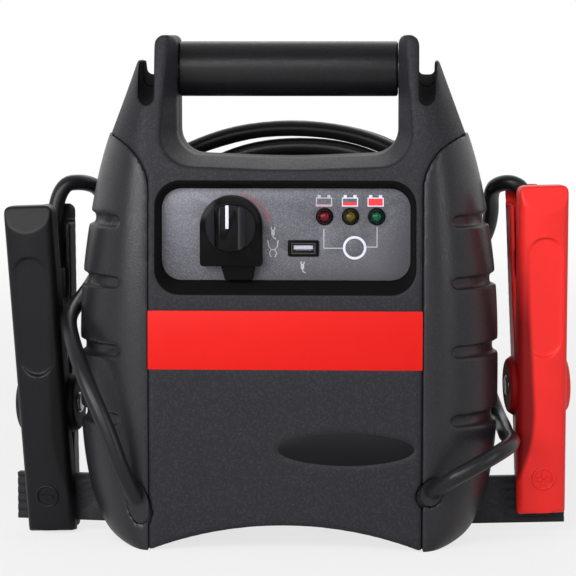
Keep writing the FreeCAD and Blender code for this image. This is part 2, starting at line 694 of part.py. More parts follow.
def biarcs(points, ways):
    """Tangent arcs through points with the given directions, two between each pair."""
    edges = []
    for a, b, s, t in zip(points, points[1:], ways, ways[1:]):
        v = b - a
        u = s + t
        spread = 2 * (1 - s.dot(t))
        if spread < 1e-9:
            reach = v.dot(v) / (2 * v.dot(u))
        else:
            reach = (-v.dot(u) + math.sqrt(v.dot(u) ** 2 + spread * v.dot(v))) / spread
        middle = (a + b + (s - t) * reach) * 0.5
        for start, corner, end in ((a, a + s * reach, middle), (middle, b - t * reach, b)):
            weight = (end - start).Length / (2 * reach)
            through = (start + corner * (2 * weight) + end) * (1 / (2 * (1 + weight)))
            edges.append(Part.Arc(start, through, end).toShape())
    return edges


def pipe(edges, radius, start, way):
    profile = Part.Wire([Part.makeCircle(radius, start, way)])
    return Part.Wire(edges).makePipeShell([profile], True, False)


def spring(mean=pin_radius + 3.1, wire=1.2, reach=6.7, splay=22.0, turns=4, leg=36.0):
    """Torsion spring wound on the pin, with one straight leg up each handle."""
    first = math.radians(180.0 + splay)
    sweep = math.radians(360.0 * turns + 180.0 - 2 * splay)
    steps = 4 * turns + 2
    points, ways = [], []
    for i in range(steps + 1):
        angle = first + sweep * i / steps
        points.append(V(-reach + 2 * reach * i / steps, mean * math.cos(angle),
                        pivot_z + mean * math.sin(angle)))
        ways.append(V(2 * reach / sweep, -mean * math.sin(angle), mean * math.cos(angle)).normalize())
    for i in (0, -1):
        ways[i] = V(0, ways[i].y, ways[i].z).normalize()
    start = points[0] - ways[0] * leg
    end = points[-1] + ways[-1] * leg
    edges = [Part.LineSegment(start, points[0]).toShape()] + biarcs(points, ways)
    edges.append(Part.LineSegment(points[-1], end).toShape())
    return pipe(edges, wire, start, ways[0])


def boot():
    """Rubber sleeve round the lead in the rear handle, with the block that grips it."""
    half = inner_half - inner_wall - 0.05
    block = box(-half, half, boot_foot.y - 6.0, 60, boot_foot.z - 4, boot_foot.z + 12)
    room = prism(channel_profile(inner_wall + 0.1), -half, half, "yz")
    room.rotate(V(0, 0, 0), V(0, 0, 1), 180)
    return rod(boot_radius, boot_foot, boot_mouth).fuse(block.common(room)).removeSplitter()


def clamp_placement(name):
    x, y, z, tilt = clamp_places[name]
    sign = -1 if name == "left" else 1
    turn = FreeCAD.Placement(V(0, 0, 0), FreeCAD.Rotation(V(0, 0, 1), sign * clamp_yaw))
    lean = FreeCAD.Placement(V(0, 0, 0), FreeCAD.Rotation(V(0, 1, 0), sign * tilt))
    lift = FreeCAD.Placement(V(x, y, z + pivot_z), FreeCAD.Rotation())
    down = FreeCAD.Placement(V(0, 0, -pivot_z), FreeCAD.Rotation())
    return lift.multiply(turn).multiply(lean).multiply(down)


def clamp_parts(name):
    """One clamp, in place."""
    sign = -1 if name == "left" else 1
    local = {
        "clamp_front": handle_half(clamp_half, clamp_wall, True),
        "clamp_rear": handle_half(inner_half, inner_wall, False),
        "front_jaw": jaw(clamp_half - clamp_wall - 0.05, True),
        "rear_jaw": jaw(inner_half - inner_wall - 0.05, False),
        "clamp_spring": spring(),
        "clamp_boot": boot(),
    }
    reach = clamp_half + boss_proud
    pin = rod(pin_radius, V(-reach - 0.1, 0, pivot_z), V(reach + 0.1, 0, pivot_z))
    for s in (-1, 1):
        head = Part.makeCone(pin_radius + 2.5, pin_radius + 1.5, 1.1, V(s * (reach + 0.1), 0, pivot_z),
                             V(s, 0, 0))
        pin = pin.fuse(head)
    local["clamp_pin"] = pin
    place = clamp_placement(name)
    result = {}
    for part, shape in local.items():
        moved = shape.copy()
        moved.Placement = place.multiply(moved.Placement)
        result[name + "_" + part] = moved
    return result


def tube(points, radius):
    """Straight runs joined by the largest tangent arcs they allow. Returns solid, length and radii."""
    edges, radii = [], []
    here = points[0]
    length = 0.0
    for before, corner, after in zip(points, points[1:], points[2:]):
        a = (before - corner).normalize()
        b = (after - corner).normalize()
        half_turn = (math.pi - a.getAngle(b)) / 2
        shorter = min((before - corner).Length, (after - corner).Length)
        bend = 0.45 * shorter / math.tan(half_turn)
        run = 0.45 * shorter
        half = a.getAngle(b) / 2
        middle = corner + (a + b).normalize() * (bend / math.sin(half) - bend)
        entry = corner + a * run
        leave = corner + b * run
        edges.append(Part.LineSegment(here, entry).toShape())
        edges.append(Part.Arc(entry, middle, leave).toShape())
        length += (entry - here).Length + bend * 2 * half_turn
        radii.append(round(bend, 1))
        here = leave
    edges.append(Part.LineSegment(here, points[-1]).toShape())
    length += (points[-1] - here).Length
    solid = pipe(edges, radius, points[0], points[1] - points[0])
    return solid, length, radii


def oval_point(name, degrees, turns):
    """Point and direction on a wound lead: an oval with flat arcs above and below and round sides."""
    cx, cz, wide, tall, flat = coil_shapes[name]
    sweep = -1 if name == "left" else 1
    b = flat - tall
    a = flat - wide
    q = (a * a + b * b) / (2 * a)
    side = flat - q
    split = math.degrees(math.atan2(b, q - a))
    angle = (degrees + 180) % 360 - 180
    if abs(angle) <= split:
        hub, radius = V(cx + q - a, 0, cz), side
    elif abs(angle) >= 180 - split:
        hub, radius = V(cx - q + a, 0, cz), side
    else:
        hub, radius = V(cx, 0, cz - math.copysign(b, angle)), flat
    rad = math.radians(degrees)
    point = hub + V(radius * math.cos(rad), lead_layer + lead_pitch * turns, radius * math.sin(rad))
    way = V(-math.sin(rad) * sweep, lead_pitch / (4.1 * (wide + tall) * 0.77),
            math.cos(rad) * sweep).normalize()
    return point, way


def coil(name):
    """The wound length of a lead: about two turns, one beside the other, with straight ends."""
    first, last = coil_sweeps[name]
    total = abs(last - first)
    steps = int(round(total / coil_step))
    points, ways = [], []
    for i in range(steps + 1):
        point, way = oval_point(name, first + (last - first) * i / steps, total / 360.0 * i / steps)
        points.append(point)
        ways.append(way)
    tail = 2 * lead_radius
    start = points[0] - ways[0] * tail
    end = points[-1] + ways[-1] * tail
    edges = [Part.LineSegment(start, points[0]).toShape()] + biarcs(points, ways)
    edges.append(Part.LineSegment(points[-1], end).toShape())
    wire = Part.Wire(edges)
    samples = []
    for edge in edges:
        samples.extend(edge.discretize(8)[:-1])
    marks, run = [], 0.0
    for p, q in zip(samples, samples[1:]):
        marks.append(run)
        run += (q - p).Length
    gap = min((samples[i] - samples[j]).Length
              for i in range(len(marks)) for j in range(i + 1, len(marks)) if marks[j] - marks[i] > 60)
    print(name, "coil length", round(wire.Length, 1), "least gap to itself", round(gap - 2 * lead_radius, 2))
    return pipe(edges, lead_radius, start, ways[0]), start, ways[0], end, ways[-1], wire.Length


def lead_parts(name):
    """A lead in three nodes: from the gland to the coil, the coil, and from the coil to the clamp's boot."""
    solid, start, start_way, end, end_way, wound = coil(name)
    exit_point, exit_way = gland_axis(name)
    exit_point = exit_point + exit_way * 1.0
    lower = {"left": [(-97.0, -63.0, 68.0), (-108.5, -57.0, 92.0), (-118.0, -42.0, 112.0),
                      (-124.3, -20.0, 124.5), (-123.95, 2.0, 130.0), (-118.8, 27.0, 137.0),
                      (-112.5, 46.0, 149.0)],
             "right": [(103.0, -64.0, 49.0), (119.0, -56.0, 57.0), (127.3, -38.0, 60.3),
                       (123.8, -13.0, 60.3), (123.5, 11.0, 60.5), (119.5, 34.0, 67.0), (110.0, 46.0, 92.0),
                       (102.5, 50.5, 120.0),
                       (98.0, 54.0, 142.0)]}[name]
    boot_end, boot_way = boot_exit(name)
    rise = boot_end + boot_way * 15.0
    upper = {"left": [(-110.0, 78.0, 182.5), (-113.5, 67.0, 192.5), (-116.5, 55.5, 198.0),
                      (-124.0, 45.5, 200.5),
                      (-133.5, 40.5, 199.5)],
             "right": [(97.5, 85.5, 140.5), (107.5, 86.0, 155.0), (115.0, 80.5, 169.5), (117.0, 68.0, 183.0),
                       (116.0, 54.0, 193.5), (118.3, 42.0, 199.5), (127.8, 37.5, 201.5)]}[name]
    lower = [exit_point, exit_point + exit_way * 17.0] + [V(*p) for p in lower]
    lower += [start - start_way * 15.0, start]
    upper = [end, end + end_way * 11.0] + [V(*p) for p in upper] + [rise, boot_end]
    result = {name + "_lead_coil": solid}
    total = wound
    for label, route in (("lower", lower), ("upper", upper)):
        shape, length, radii = tube(route, lead_radius)
        share = shape.Volume / (math.pi * lead_radius ** 2 * length)
        print(name, label, "length", round(length, 1), "radii", radii, "volume share", round(share, 4))
        total += length
        result[name + "_lead_" + label] = shape
    print(name, "lead in all", round(total, 1))
    return result


def boot_exit(name):
    """Where the lead leaves its sleeve, and the way it points there."""
    place = clamp_placement(name)
    return place.multVec(boot_mouth), place.Rotation.multVec((boot_mouth - boot_foot).normalize())


def build():
    front, rear, bumpers, band, badge, screws = case_parts()
    core, grip = handle_parts()
    battery_case, battery_lid, terminals, link = battery_parts()
    cleat_top, cleat_low = cleats()
    parts = {
        "front_shell": front, "rear_shell": rear,
        "left_bumper": bumpers["left"], "right_bumper": bumpers["right"],
        "red_band": band, "badge_plate": badge, "housing_screws": Part.Compound(screws), "handle_core": core,
        "handle_grip": grip, "battery_case": battery_case, "battery_lid": battery_lid,
        "battery_terminals": terminals, "battery_link": link, "cable_cleat_top": cleat_top,
        "cable_cleat_low": cleat_low,
        "left_lug": lug_solid(-1, 0.0), "right_lug": lug_solid(1, 0.0),
        "left_gland": gland("left"), "right_gland": gland("right"),
    }
    inlet = rod(inlet_radius, V(inlet_x, half_depth - 12.0, inlet_z), V(inlet_x, half_depth, inlet_z))
    flange = rod(inlet_flange, V(inlet_x, half_depth, inlet_z), V(inlet_x, half_depth + 1.5, inlet_z))
    parts["charge_inlet"] = inlet.fuse(flange)
    cover = Part.makeCone(8.0, 6.5, 2.5, V(inlet_x, half_depth + 1.5, inlet_z), V(0, 1, 0))
    parts["inlet_cover"] = cover
    parts.update(control_parts())
    for name in ("left", "right"):
        parts.update(clamp_parts(name))
        parts.update(lead_parts(name))

    # the origin is on the floor under the middle of the whole outline, the leads left out
    outline = Part.Compound([shape for node, shape in parts.items() if "_lead_" not in node]).BoundBox
    move = V(-outline.Center.x, -outline.Center.y, 0)
    print("moved by", round(move.x, 3), round(move.y, 3))
    for shape in parts.values():
        shape.translate(move)
    return parts


os.makedirs("parts", exist_ok=True)
for node, solid in build().items():
    if not solid.isValid():
        print("not valid:", node)
    print(node, len(solid.Solids), round(solid.Volume))
    solid.exportStep("parts/" + node + ".step")
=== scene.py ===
import json
import math

import bpy
from mathutils import Matrix, Vector


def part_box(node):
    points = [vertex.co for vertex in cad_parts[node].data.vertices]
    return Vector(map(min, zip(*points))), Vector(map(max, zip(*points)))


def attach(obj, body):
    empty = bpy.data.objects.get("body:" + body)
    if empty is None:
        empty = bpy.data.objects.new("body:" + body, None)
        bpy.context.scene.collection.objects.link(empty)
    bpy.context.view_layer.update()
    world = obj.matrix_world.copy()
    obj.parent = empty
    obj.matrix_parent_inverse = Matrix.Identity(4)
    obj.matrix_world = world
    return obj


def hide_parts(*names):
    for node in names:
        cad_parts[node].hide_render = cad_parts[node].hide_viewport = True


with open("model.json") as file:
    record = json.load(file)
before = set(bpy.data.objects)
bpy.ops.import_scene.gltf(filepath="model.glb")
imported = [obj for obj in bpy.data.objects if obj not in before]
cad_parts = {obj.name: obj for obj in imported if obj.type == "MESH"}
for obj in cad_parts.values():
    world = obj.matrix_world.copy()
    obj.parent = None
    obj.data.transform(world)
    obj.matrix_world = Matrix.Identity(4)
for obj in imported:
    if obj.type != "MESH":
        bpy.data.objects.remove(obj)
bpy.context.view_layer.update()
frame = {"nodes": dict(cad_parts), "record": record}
cadNodes = frame["nodes"]
bodyOf = {node: body for body, members in frame["record"]["behaviour"]["bodies"].items() for node in members}
mm = 0.001
sides = ("left", "right")

low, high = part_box("battery_case")
middle = Vector(((low.x + high.x) / 2, (low.y + high.y) / 2, 0))  # the case's own middle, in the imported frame
caseSpace = Matrix.Translation(middle) @ Matrix.Scale(mm, 4)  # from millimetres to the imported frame
alongX, alongY, alongZ = (1, 0, 0), (0, 1, 0), (0, 0, 1)


def at(x, y, z):  # a point given in millimetres from the middle of the case
    return Vector((x * mm, y * mm, z * mm)) + middle


def turned(degrees, axis):
    return Matrix.Rotation(math.radians(degrees), 4, axis)


clampPlaces = {  # x, y and z of the pivot in millimetres, turn about Z and then about Y in degrees
    "left": (-138.3, 15.0, 74.0, -8.5, -2.3),
    "right": (141.6, 15.0, 86.0, 8.5, -1.1),
}
pivotHeight = 73.0  # above the jaw's tip


def clampSpace(side):  # from a clamp's own millimetres, where the jaw's tip is at 0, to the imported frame
    x, y, z, yaw, tilt = clampPlaces[side]
    return (Matrix.Translation(at(x, y, z)) @ turned(yaw, "Z") @ turned(tilt, "Y")
            @ Matrix.Scale(mm, 4) @ Matrix.Translation((0, 0, -pivotHeight)))


print("stage 1: camera and lamps")

shot = {
    "azimuth": 2.4, "elevation": 5.0, "distance": 1.6,  # degrees and metres
    "aim": (0, 0, 143),  # millimetres
    "focal": 2809.4, "centre": (288.84, 287.04), "picture": 576,  # pixels
    "sensor": 36, "reach": 20,
}
lampSet = [  # name, place in metres, aim height, width, height, watts
    ("topLamp", (-0.1, -1.6, 1.05), 0.2, 1.0, 0.4, 10.0),
    ("frontLamp", (0.1, -2.0, 0.5), 0.15, 1.0, 0.7, 4.0),
    ("leftLamp", (-0.95, -1.25, 0.6), 0.15, 1.1, 0.7, 18.0),
    ("rightLamp", (1.25, -0.9, 0.6), 0.15, 0.4, 1.0, 5.0),
    ("backLamp", (0.1, 1.3, 1.1), 0.15, 1.2, 0.7, 3.5),
]


def aimCamera():
    azimuth = math.radians(shot["azimuth"])
    elevation = math.radians(shot["elevation"])
    back = Vector((math.sin(azimuth) * math.cos(elevation), -math.cos(azimuth) * math.cos(elevation),
                   math.sin(elevation)))
    bpy.ops.object.camera_add(location=at(*shot["aim"]) + back * shot["distance"])
    camera = bpy.context.object
    camera.name = "camera"
    camera.rotation_mode = "QUATERNION"
    camera.rotation_quaternion = (-back).to_track_quat("-Z", "Y")
    camera.data.sensor_width = shot["sensor"]
    camera.data.lens = shot["focal"] / shot["picture"] * shot["sensor"]
    camera.data.shift_x = (shot["picture"] / 2 - shot["centre"][0]) / shot["picture"]
    camera.data.shift_y = (shot["centre"][1] - shot["picture"] / 2) / shot["picture"]
    camera.data.clip_end = shot["reach"]
    bpy.context.scene.camera = camera


def hangLamps():
    for name, place, aim, width, height, power in lampSet:
        bpy.ops.object.light_add(type="AREA", location=Vector(place) + middle)
        lamp = bpy.context.object
        lamp.name = name
        lamp.data.shape = "RECTANGLE"
        lamp.data.size = width
        lamp.data.size_y = height
        lamp.data.energy = power
        lamp.rotation_mode = "QUATERNION"
        lamp.rotation_quaternion = (at(0, 0, aim / mm) - lamp.location).to_track_quat("-Z", "Y")


aimCamera()
hangLamps()

print("stage 2: materials")


class Link:  # a node's output, with arithmetic that adds Math nodes
    def __init__(self, nodes, socket):
        self.nodes = nodes
        self.socket = socket

    def math(self, operation, *others):
        return self.nodes.node("Math", {"operation": operation}, dict(enumerate((self, *others))))

    def __add__(self, other):
        return self.math("ADD", other)

    def __sub__(self, other):
        return self.math("SUBTRACT", other)

    def __mul__(self, other):
        return self.math("MULTIPLY", other)

    def __truediv__(self, other):
        return self.math("DIVIDE", other)

    def __rsub__(self, other):
        return self.nodes.node("Math", {"operation": "SUBTRACT"}, {0: other, 1: self})

    def __pow__(self, other):
        return self.math("POWER", other)

    __radd__ = __add__
    __rmul__ = __mul__

    def above(self, level, soft):  # 0 below the level, 1 above it
        return self.nodes.node("MapRange", {"interpolation_type": "SMOOTHSTEP"},
                               {"Value": self, "From Min": level - soft, "From Max": level + soft})

    def atLeast(self, least):
        return self.math("MAXIMUM", least)

    def atMost(self, most):
        return self.math("MINIMUM", most)


class Nodes:  # the nodes of a material or of the world
    def __init__(self, tree):
        self.tree = tree

    def node(self, kind, settings=None, values=None, pick=0):
        made = self.tree.nodes.new("ShaderNode" + kind)
        for key, value in (settings or {}).items():
            setattr(made, key, value)
        for key, value in (values or {}).items():
            self.feed(made.inputs[key], value)
        return Link(self, made.outputs[pick])

    def feed(self, socket, value):
        if isinstance(value, Link):
            self.tree.links.new(value.socket, socket)
        else:
            socket.default_value = value


class Paint(Nodes):  # one material
    def __init__(self, name):
        self.material = bpy.data.materials.new(name)
        self.material.use_nodes = True
        super().__init__(self.material.node_tree)
        self.shader = self.tree.nodes["Principled BSDF"]
        self.place = self.node("TexCoord", pick="Object")

    def noise(self, scale, detail=3, rough=0.5):
        return self.node("TexNoise", None, {"Vector": self.place, "Scale": scale, "Detail": detail,
                                            "Roughness": rough}, "Fac")

    def cells(self, scale):
        return self.node("TexVoronoi", None, {"Vector": self.place, "Scale": scale}, "Distance")

    def blend(self, share, first, second):
        return self.node("Mix", {"data_type": "RGBA"}, {0: share, 6: first, 7: second}, 2)

    def along(self, way, start):  # how far a point lies from the start in one direction, in millimetres
        offset = self.node("VectorMath", {"operation": "SUBTRACT"}, {0: self.place, 1: tuple(start)})
        return self.node("VectorMath", {"operation": "DOT_PRODUCT"}, {0: offset, 1: tuple(way)}, "Value") / mm

    def set(self, **sockets):
        for key, value in sockets.items():
            self.feed(self.shader.inputs[key.replace("_", " ")], value)

    def bump(self, height, strength, depth):
        values = {"Height": height, "Strength": strength, "Distance": depth}
        self.set(Normal=self.node("Bump", None, values, "Normal"))


def grey(value):
    return (value, value, value, 1.0)


coolTint = (0.98, 0.97, 1.16)  # the photo's greys are slightly blue


def cool(value):
    return (*(value * tint for tint in coolTint), 1.0)


def dimmed(colour, share):
    return tuple(c * share for c in colour[:3]) + (1,)


panelFacts = {  # how far the panel lies before the middle, and where its fittings are
    "face": -38.0, "dial": (-30.0, 180.4), "port": (9.7, 168.0), "button": (38.1, 168.3),
    "lampX": (21.4, 35.8, 50.3), "lampZ": 185.7, "ring": (0.3, 4.3, 0.6),
}

# the fade is painted light across the panel; the specks are its grain
silver = {
    "fadeWay": (1, 0, -1.8), "fadeStart": Vector((-0.08, 0, 0.2)), "fadeReach": 150, "fadeMost": 1.5,
    "specks": 1500, "speckLevel": (0.55, 0.12), "clouds": 30,
    "lightShare": 0.4, "speckShare": 0.7, "cloudShare": 0.2, "fadeShare": 0.62,  # of the lighter colour
    "speckRough": 0.1, "fadeRough": 0.12, "speckMetal": 0.35, "strength": 0.15, "depth": 0.00008,
}


def speckledPaint(name, dark, light, rough):  # painted light: brighter towards its upper left corner
    paint = Paint(name)
    s = silver
    paintedLight = paint.along(s["fadeWay"], middle + s["fadeStart"]) / s["fadeReach"]
    paintedLight = paintedLight.atMost(s["fadeMost"]).atLeast(0.0)
    speck = paint.noise(s["specks"], detail=2, rough=0.7).above(*s["speckLevel"])
    cloud = paint.noise(s["clouds"])
    share = speck * s["speckShare"] + cloud * s["cloudShare"] - paintedLight * s["fadeShare"] + s["lightShare"]
    paint.set(Base_Color=paint.blend(share, dark, light),
              Roughness=rough + speck * s["speckRough"] + paintedLight * s["fadeRough"],
              Metallic=speck * s["speckMetal"])
    paint.bump(speck, s["strength"], s["depth"])
    return paint.material


hollows = {
    "pocket": (58.1, 17.3, 174.4, 14.3),  # the window's straight half width and height, middle and corners
    "pocketBack": (-30, 1), "edge": 0.3,
    "notch": (78, 4.8),  # how far a notch lies from the middle, and its half width
    "notchFloor": 261.2, "notchSlope": 0.245,
    "black": 0.002, "dull": 0.45,
}


def blackWallsAndPaintedShade(paint):  # 1 where the case is coloured black: on the walls round the panel, partly their own black plastic and partly painted shade, and inside the hook notches as painted shade
    across, depth, height = (paint.along(way, middle) for way in (alongX, alongY, alongZ))
    side = across.math("ABSOLUTE")

    def beyond(a, b):
        return (a.atLeast(0.0) ** 2 + b.atLeast(0.0) ** 2).math("SQRT")

    wide, tall, level, corner = hollows["pocket"]
    pocket = beyond(side - wide, (height - level).math("ABSOLUTE") - tall).above(corner, hollows["edge"])
    out, half = hollows["notch"]
    under = depth * hollows["notchSlope"] + hollows["notchFloor"] - height
    notch = beyond((side - out).math("ABSOLUTE"), under).above(half, hollows["edge"])
    return ((1 - pocket) * (1 - depth.above(*hollows["pocketBack"])) + (1 - notch)).atMost(1.0)


grained = {
    "clouds": 40, "pits": 0.9, "speckLevel": (0.56, 0.09),
    "speckShare": 0.7, "cloudShare": 0.2, "cloudRough": 0.1, "speckRough": 0.08,
    "fineHeight": 0.7, "pitHeight": 0.6, "strength": 0.5, "depth": 0.00012,
}


def grainedPlastic(name, dark, light, rough, shine, grain=900, hollow=False):
    paint = Paint(name)
    g = grained
    cloud = paint.noise(g["clouds"], detail=4)
    fine = paint.noise(grain, detail=2, rough=0.6)
    pits = paint.cells(grain * g["pits"])
    speck = fine.above(*g["speckLevel"])
    colour = paint.blend(speck * g["speckShare"] + cloud * g["cloudShare"], dark, light)
    rough = (cloud - 0.5) * g["cloudRough"] - speck * g["speckRough"] + rough
    if hollow:
        # black on the panel's walls, partly their own plastic and partly painted shade, and painted shade
        # inside the notches
        black = blackWallsAndPaintedShade(paint)
        colour = paint.blend(black, colour, cool(hollows["black"]))
        rough = rough + black * hollows["dull"]
    paint.set(Base_Color=colour, Roughness=rough, Specular_IOR_Level=shine)
    paint.bump(fine * g["fineHeight"] + pits * g["pitHeight"], g["strength"], g["depth"])
    return paint.material


smooth = {
    "clouds": 60, "cloudShare": 0.35, "dim": 0.82, "uneven": 0.12, "coatRough": 0.12,
    "grain": 500, "strength": 0.12, "depth": 0.0001,
}


def smoothPlastic(name, colour, rough, coat=0.0, shine=0.3):
    paint = Paint(name)
    cloud = paint.noise(smooth["clouds"], detail=4)
    paint.set(Base_Color=paint.blend(cloud * smooth["cloudShare"], colour, dimmed(colour, smooth["dim"])),
              Roughness=rough + (cloud - 0.5) * smooth["uneven"],
              Coat_Weight=coat, Coat_Roughness=smooth["coatRough"], Specular_IOR_Level=shine)
    paint.bump(paint.noise(smooth["grain"]), smooth["strength"], smooth["depth"])
    return paint.material


lens = {
    "heart": 14, "rim": 0.06, "spots": 700, "spotLevel": (0.42, 0.2), "spotShare": 0.35,
    "rough": 0.09, "spotRough": 0.05, "coat": 0.15, "coatRough": 0.05, "shine": 0.15,
}


def lensPlastic(name, colour, x):  # painted shade: darker towards its rim, round a coloured heart
    paint = Paint(name)
    side, height = (paint.along(way, at(x, 0, panelFacts["lampZ"])) for way in (alongX, alongZ))
    # painted shade grows towards the rim
    rim = (side ** 2 + height ** 2) / lens["heart"]
    spots = paint.cells(lens["spots"]).above(*lens["spotLevel"])
    share = (rim + spots * lens["spotShare"]).atMost(1.0)
    paint.set(Base_Color=paint.blend(share, colour, dimmed(colour, lens["rim"])),
              Roughness=lens["rough"] + spots * lens["spotRough"],
              Coat_Weight=lens["coat"], Coat_Roughness=lens["coatRough"], Specular_IOR_Level=lens["shine"])
    return paint.material


# where the painted shade lies on a handle's inner side
shadow = {
    "middle": 60, "start": 5.4,  # height where the shade comes nearest to the handle's middle, and how near
    "lean": 0.05, "bow": (39, 8),  # above that height it draws back in a line, below it in a curve
    "soft": 1.8, "end": (132, 32), "thin": 0.85, "cloudShare": 0.12, "dull": 0.2,
}


def paintedShadePlastic(name, side, colour, shade, rough, shine):  # painted shade: a handle's inner side is coloured darker where it lies in deep shade
    paint = Paint(name)
    inner = -1 if side == "right" else 1
    space = clampSpace(side)
    across = paint.along(space.col[0].xyz.normalized() * inner, at(*clampPlaces[side][:3]))
    height = paint.along(space.col[2].xyz.normalized(), space @ Vector((0, 0, 0)))
    reach, most = shadow["bow"]
    limit = ((height - shadow["middle"]).atLeast(0.0) * shadow["lean"]
             + ((shadow["middle"] - height).atLeast(0.0) / reach) ** 2 * most + shadow["start"])
    # painted shade: the colour darkens beyond the limit on the inner side, thinning out near the handle's top
    dark = (across - limit).above(0.0, shadow["soft"]) * (1 - height.above(*shadow["end"]) * shadow["thin"])
    cloud = paint.noise(smooth["clouds"], detail=4)
    paint.set(Base_Color=paint.blend((dark + cloud * shadow["cloudShare"]).atMost(1.0), colour, shade),
              Roughness=rough + (cloud - 0.5) * smooth["uneven"] + dark * shadow["dull"],
              Specular_IOR_Level=shine)
    paint.bump(paint.noise(smooth["grain"]), smooth["strength"], smooth["depth"])
    return paint.material


plated = {
    "clouds": 90, "cloudShare": 0.5, "dim": 0.75, "uneven": 0.2,
    "grain": 700, "strength": 0.1, "depth": 0.00008,
}


def metal(name, colour, rough):
    paint = Paint(name)
    cloud = paint.noise(plated["clouds"], detail=5)
    paint.set(Base_Color=paint.blend(cloud * plated["cloudShare"], colour, dimmed(colour, plated["dim"])),
              Metallic=1.0, Roughness=rough + (cloud - 0.5) * plated["uneven"])
    paint.bump(paint.noise(plated["grain"], detail=2), plated["strength"], plated["depth"])
    return paint.material


lensX = panelFacts["lampX"]
paints = {
    "case": grainedPlastic("casePlastic", cool(0.017), cool(0.03), 0.54, 0.15, hollow=True),
    "bumper": grainedPlastic("bumperRubber", cool(0.013), cool(0.023), 0.38, 0.32),
    "grip": grainedPlastic("gripRubber", cool(0.006), cool(0.011), 0.38, 0.22, 700),
    "gloss": smoothPlastic("shroudPlastic", cool(0.002), 0.2, 0.12, 0.03),
    "badge": smoothPlastic("badgePlastic", cool(0.006), 0.5, shine=0.12),
    "knob": smoothPlastic("knobGloss", cool(0.002), 0.14, 0.2, 0.03),
    "knobFlat": smoothPlastic("knobFlat", cool(0.009), 0.4, shine=0.1),
    # a lighter copy of the knob's black: painted highlight on the bar's right flank
    "knobPaintedHighlight": smoothPlastic("knobPaintedHighlight", cool(0.035), 0.35, shine=0.2),
    "white": smoothPlastic("whiteMark", cool(0.7), 0.4),
    "red": smoothPlastic("redBand", (0.68, 0.011, 0.008, 1), 0.5, shine=0.12),
    "printRed": smoothPlastic("printRed", (0.8, 0.05, 0.06, 1), 0.5, shine=0.12),
    "pink": smoothPlastic("pinkMark", (0.5, 0.22, 0.25, 1), 0.5),
    "faded": smoothPlastic("fadedMark", (0.3, 0.11, 0.135, 1), 0.5),
    "pale": smoothPlastic("paleMark", cool(0.45), 0.5),
    "panel": speckledPaint("panelSilver", cool(0.07), cool(0.22), 0.36),
    "clampRed": smoothPlastic("clampRed", (0.78, 0.018, 0.016, 1), 0.36, shine=0.2),
    "clampBlack": smoothPlastic("clampBlack", cool(0.008), 0.36, shine=0.18),
    # the handles' inner sides carry painted shade
    "leftHandle": paintedShadePlastic("leftHandle", "left", cool(0.008), cool(0.001), 0.36, 0.18),
    "rightHandle": paintedShadePlastic("rightHandle", "right", (0.82, 0.026, 0.022, 1), (0.2, 0.002, 0.003, 1),
                                 0.36, 0.2),
    "lead": smoothPlastic("leadJacket", cool(0.01), 0.34),
    "steel": metal("zincSteel", grey(0.6), 0.3),
    "darkSteel": metal("darkSteel", grey(0.12), 0.35),
    "copper": metal("copperPlate", (0.72, 0.36, 0.2, 1), 0.32),
    "board": smoothPlastic("boardLacquer", (0.02, 0.12, 0.05, 1), 0.3),
    "battery": smoothPlastic("batteryCase", grey(0.06), 0.5),
    "redLens": lensPlastic("redLens", (0.17, 0.003, 0.009, 1), lensX[0]),
    "yellowLens": lensPlastic("yellowLens", (0.12, 0.095, 0.006, 1), lensX[1]),
    "greenLens": lensPlastic("greenLens", (0.003, 0.12, 0.05, 1), lensX[2]),
}


def paintOver(piece, paint):
    piece.data.materials.clear()
    piece.data.materials.append(paints[paint])


print("stage 3: leads")

leadFacts = {
    "radius": 4.6, "layer": 59.0, "pitch": 10.2,  # the coils' first layer lies this far back
    "step": 20,  # degrees from one point of a coil to the next
    "straight": (1, 18),  # where the points of the stretch at the exit lie
    "before": (24, 9), "after": (9, 20),  # the same beside a coil
    "mouth": (0, 22.6, 168.0), "mouthWay": (0, 3.4, 30.0), "boot": 15,  # in the clamp's own millimetres
}
coilShapes = {  # middle x and z, half width, half height, radius of the flat arcs, first and last angle
    "left": (-1.0, 149.5, 105.0, 82.0, 150.0, 150.0, -540.0),
    "right": (4.0, 150.0, 88.0, 71.0, 125.0, 30.0, 690.0),
}
leadRoutes = {
    "left": {
        "exit": ((-83.0, -52.0, 29.0), (-0.33, -0.5, 0.8)),
        "lower": [(-97.0, -63.0, 68.0), (-108.5, -57.0, 92.0), (-118.0, -42.0, 112.0), (-124.3, -20.0, 124.5),
                  (-123.95, 2.0, 130.0), (-118.8, 27.0, 137.0), (-112.5, 46.0, 149.0)],
        "upper": [(-110.0, 78.0, 182.5), (-113.5, 67.0, 192.5), (-116.5, 55.5, 198.0), (-124.0, 45.5, 200.5),
                  (-133.5, 40.5, 199.5)],
        "length": 1.51,
    },
    "right": {
        "exit": ((82.0, -52.0, 34.0), (0.5, -0.72, 0.48)),
        "lower": [(103.0, -64.0, 49.0), (119.0, -56.0, 57.0), (127.3, -38.0, 60.3), (123.8, -13.0, 60.3),
                  (123.5, 11.0, 60.5), (119.5, 34.0, 67.0), (110.0, 46.0, 92.0), (102.5, 50.5, 120.0),
                  (98.0, 54.0, 142.0)],
        "upper": [(97.5, 85.5, 140.5), (107.5, 86.0, 155.0), (115.0, 80.5, 169.5), (117.0, 68.0, 183.0),
                  (116.0, 54.0, 193.5), (118.3, 42.0, 199.5), (127.8, 37.5, 201.5)],
        "length": 1.359,
    },
}


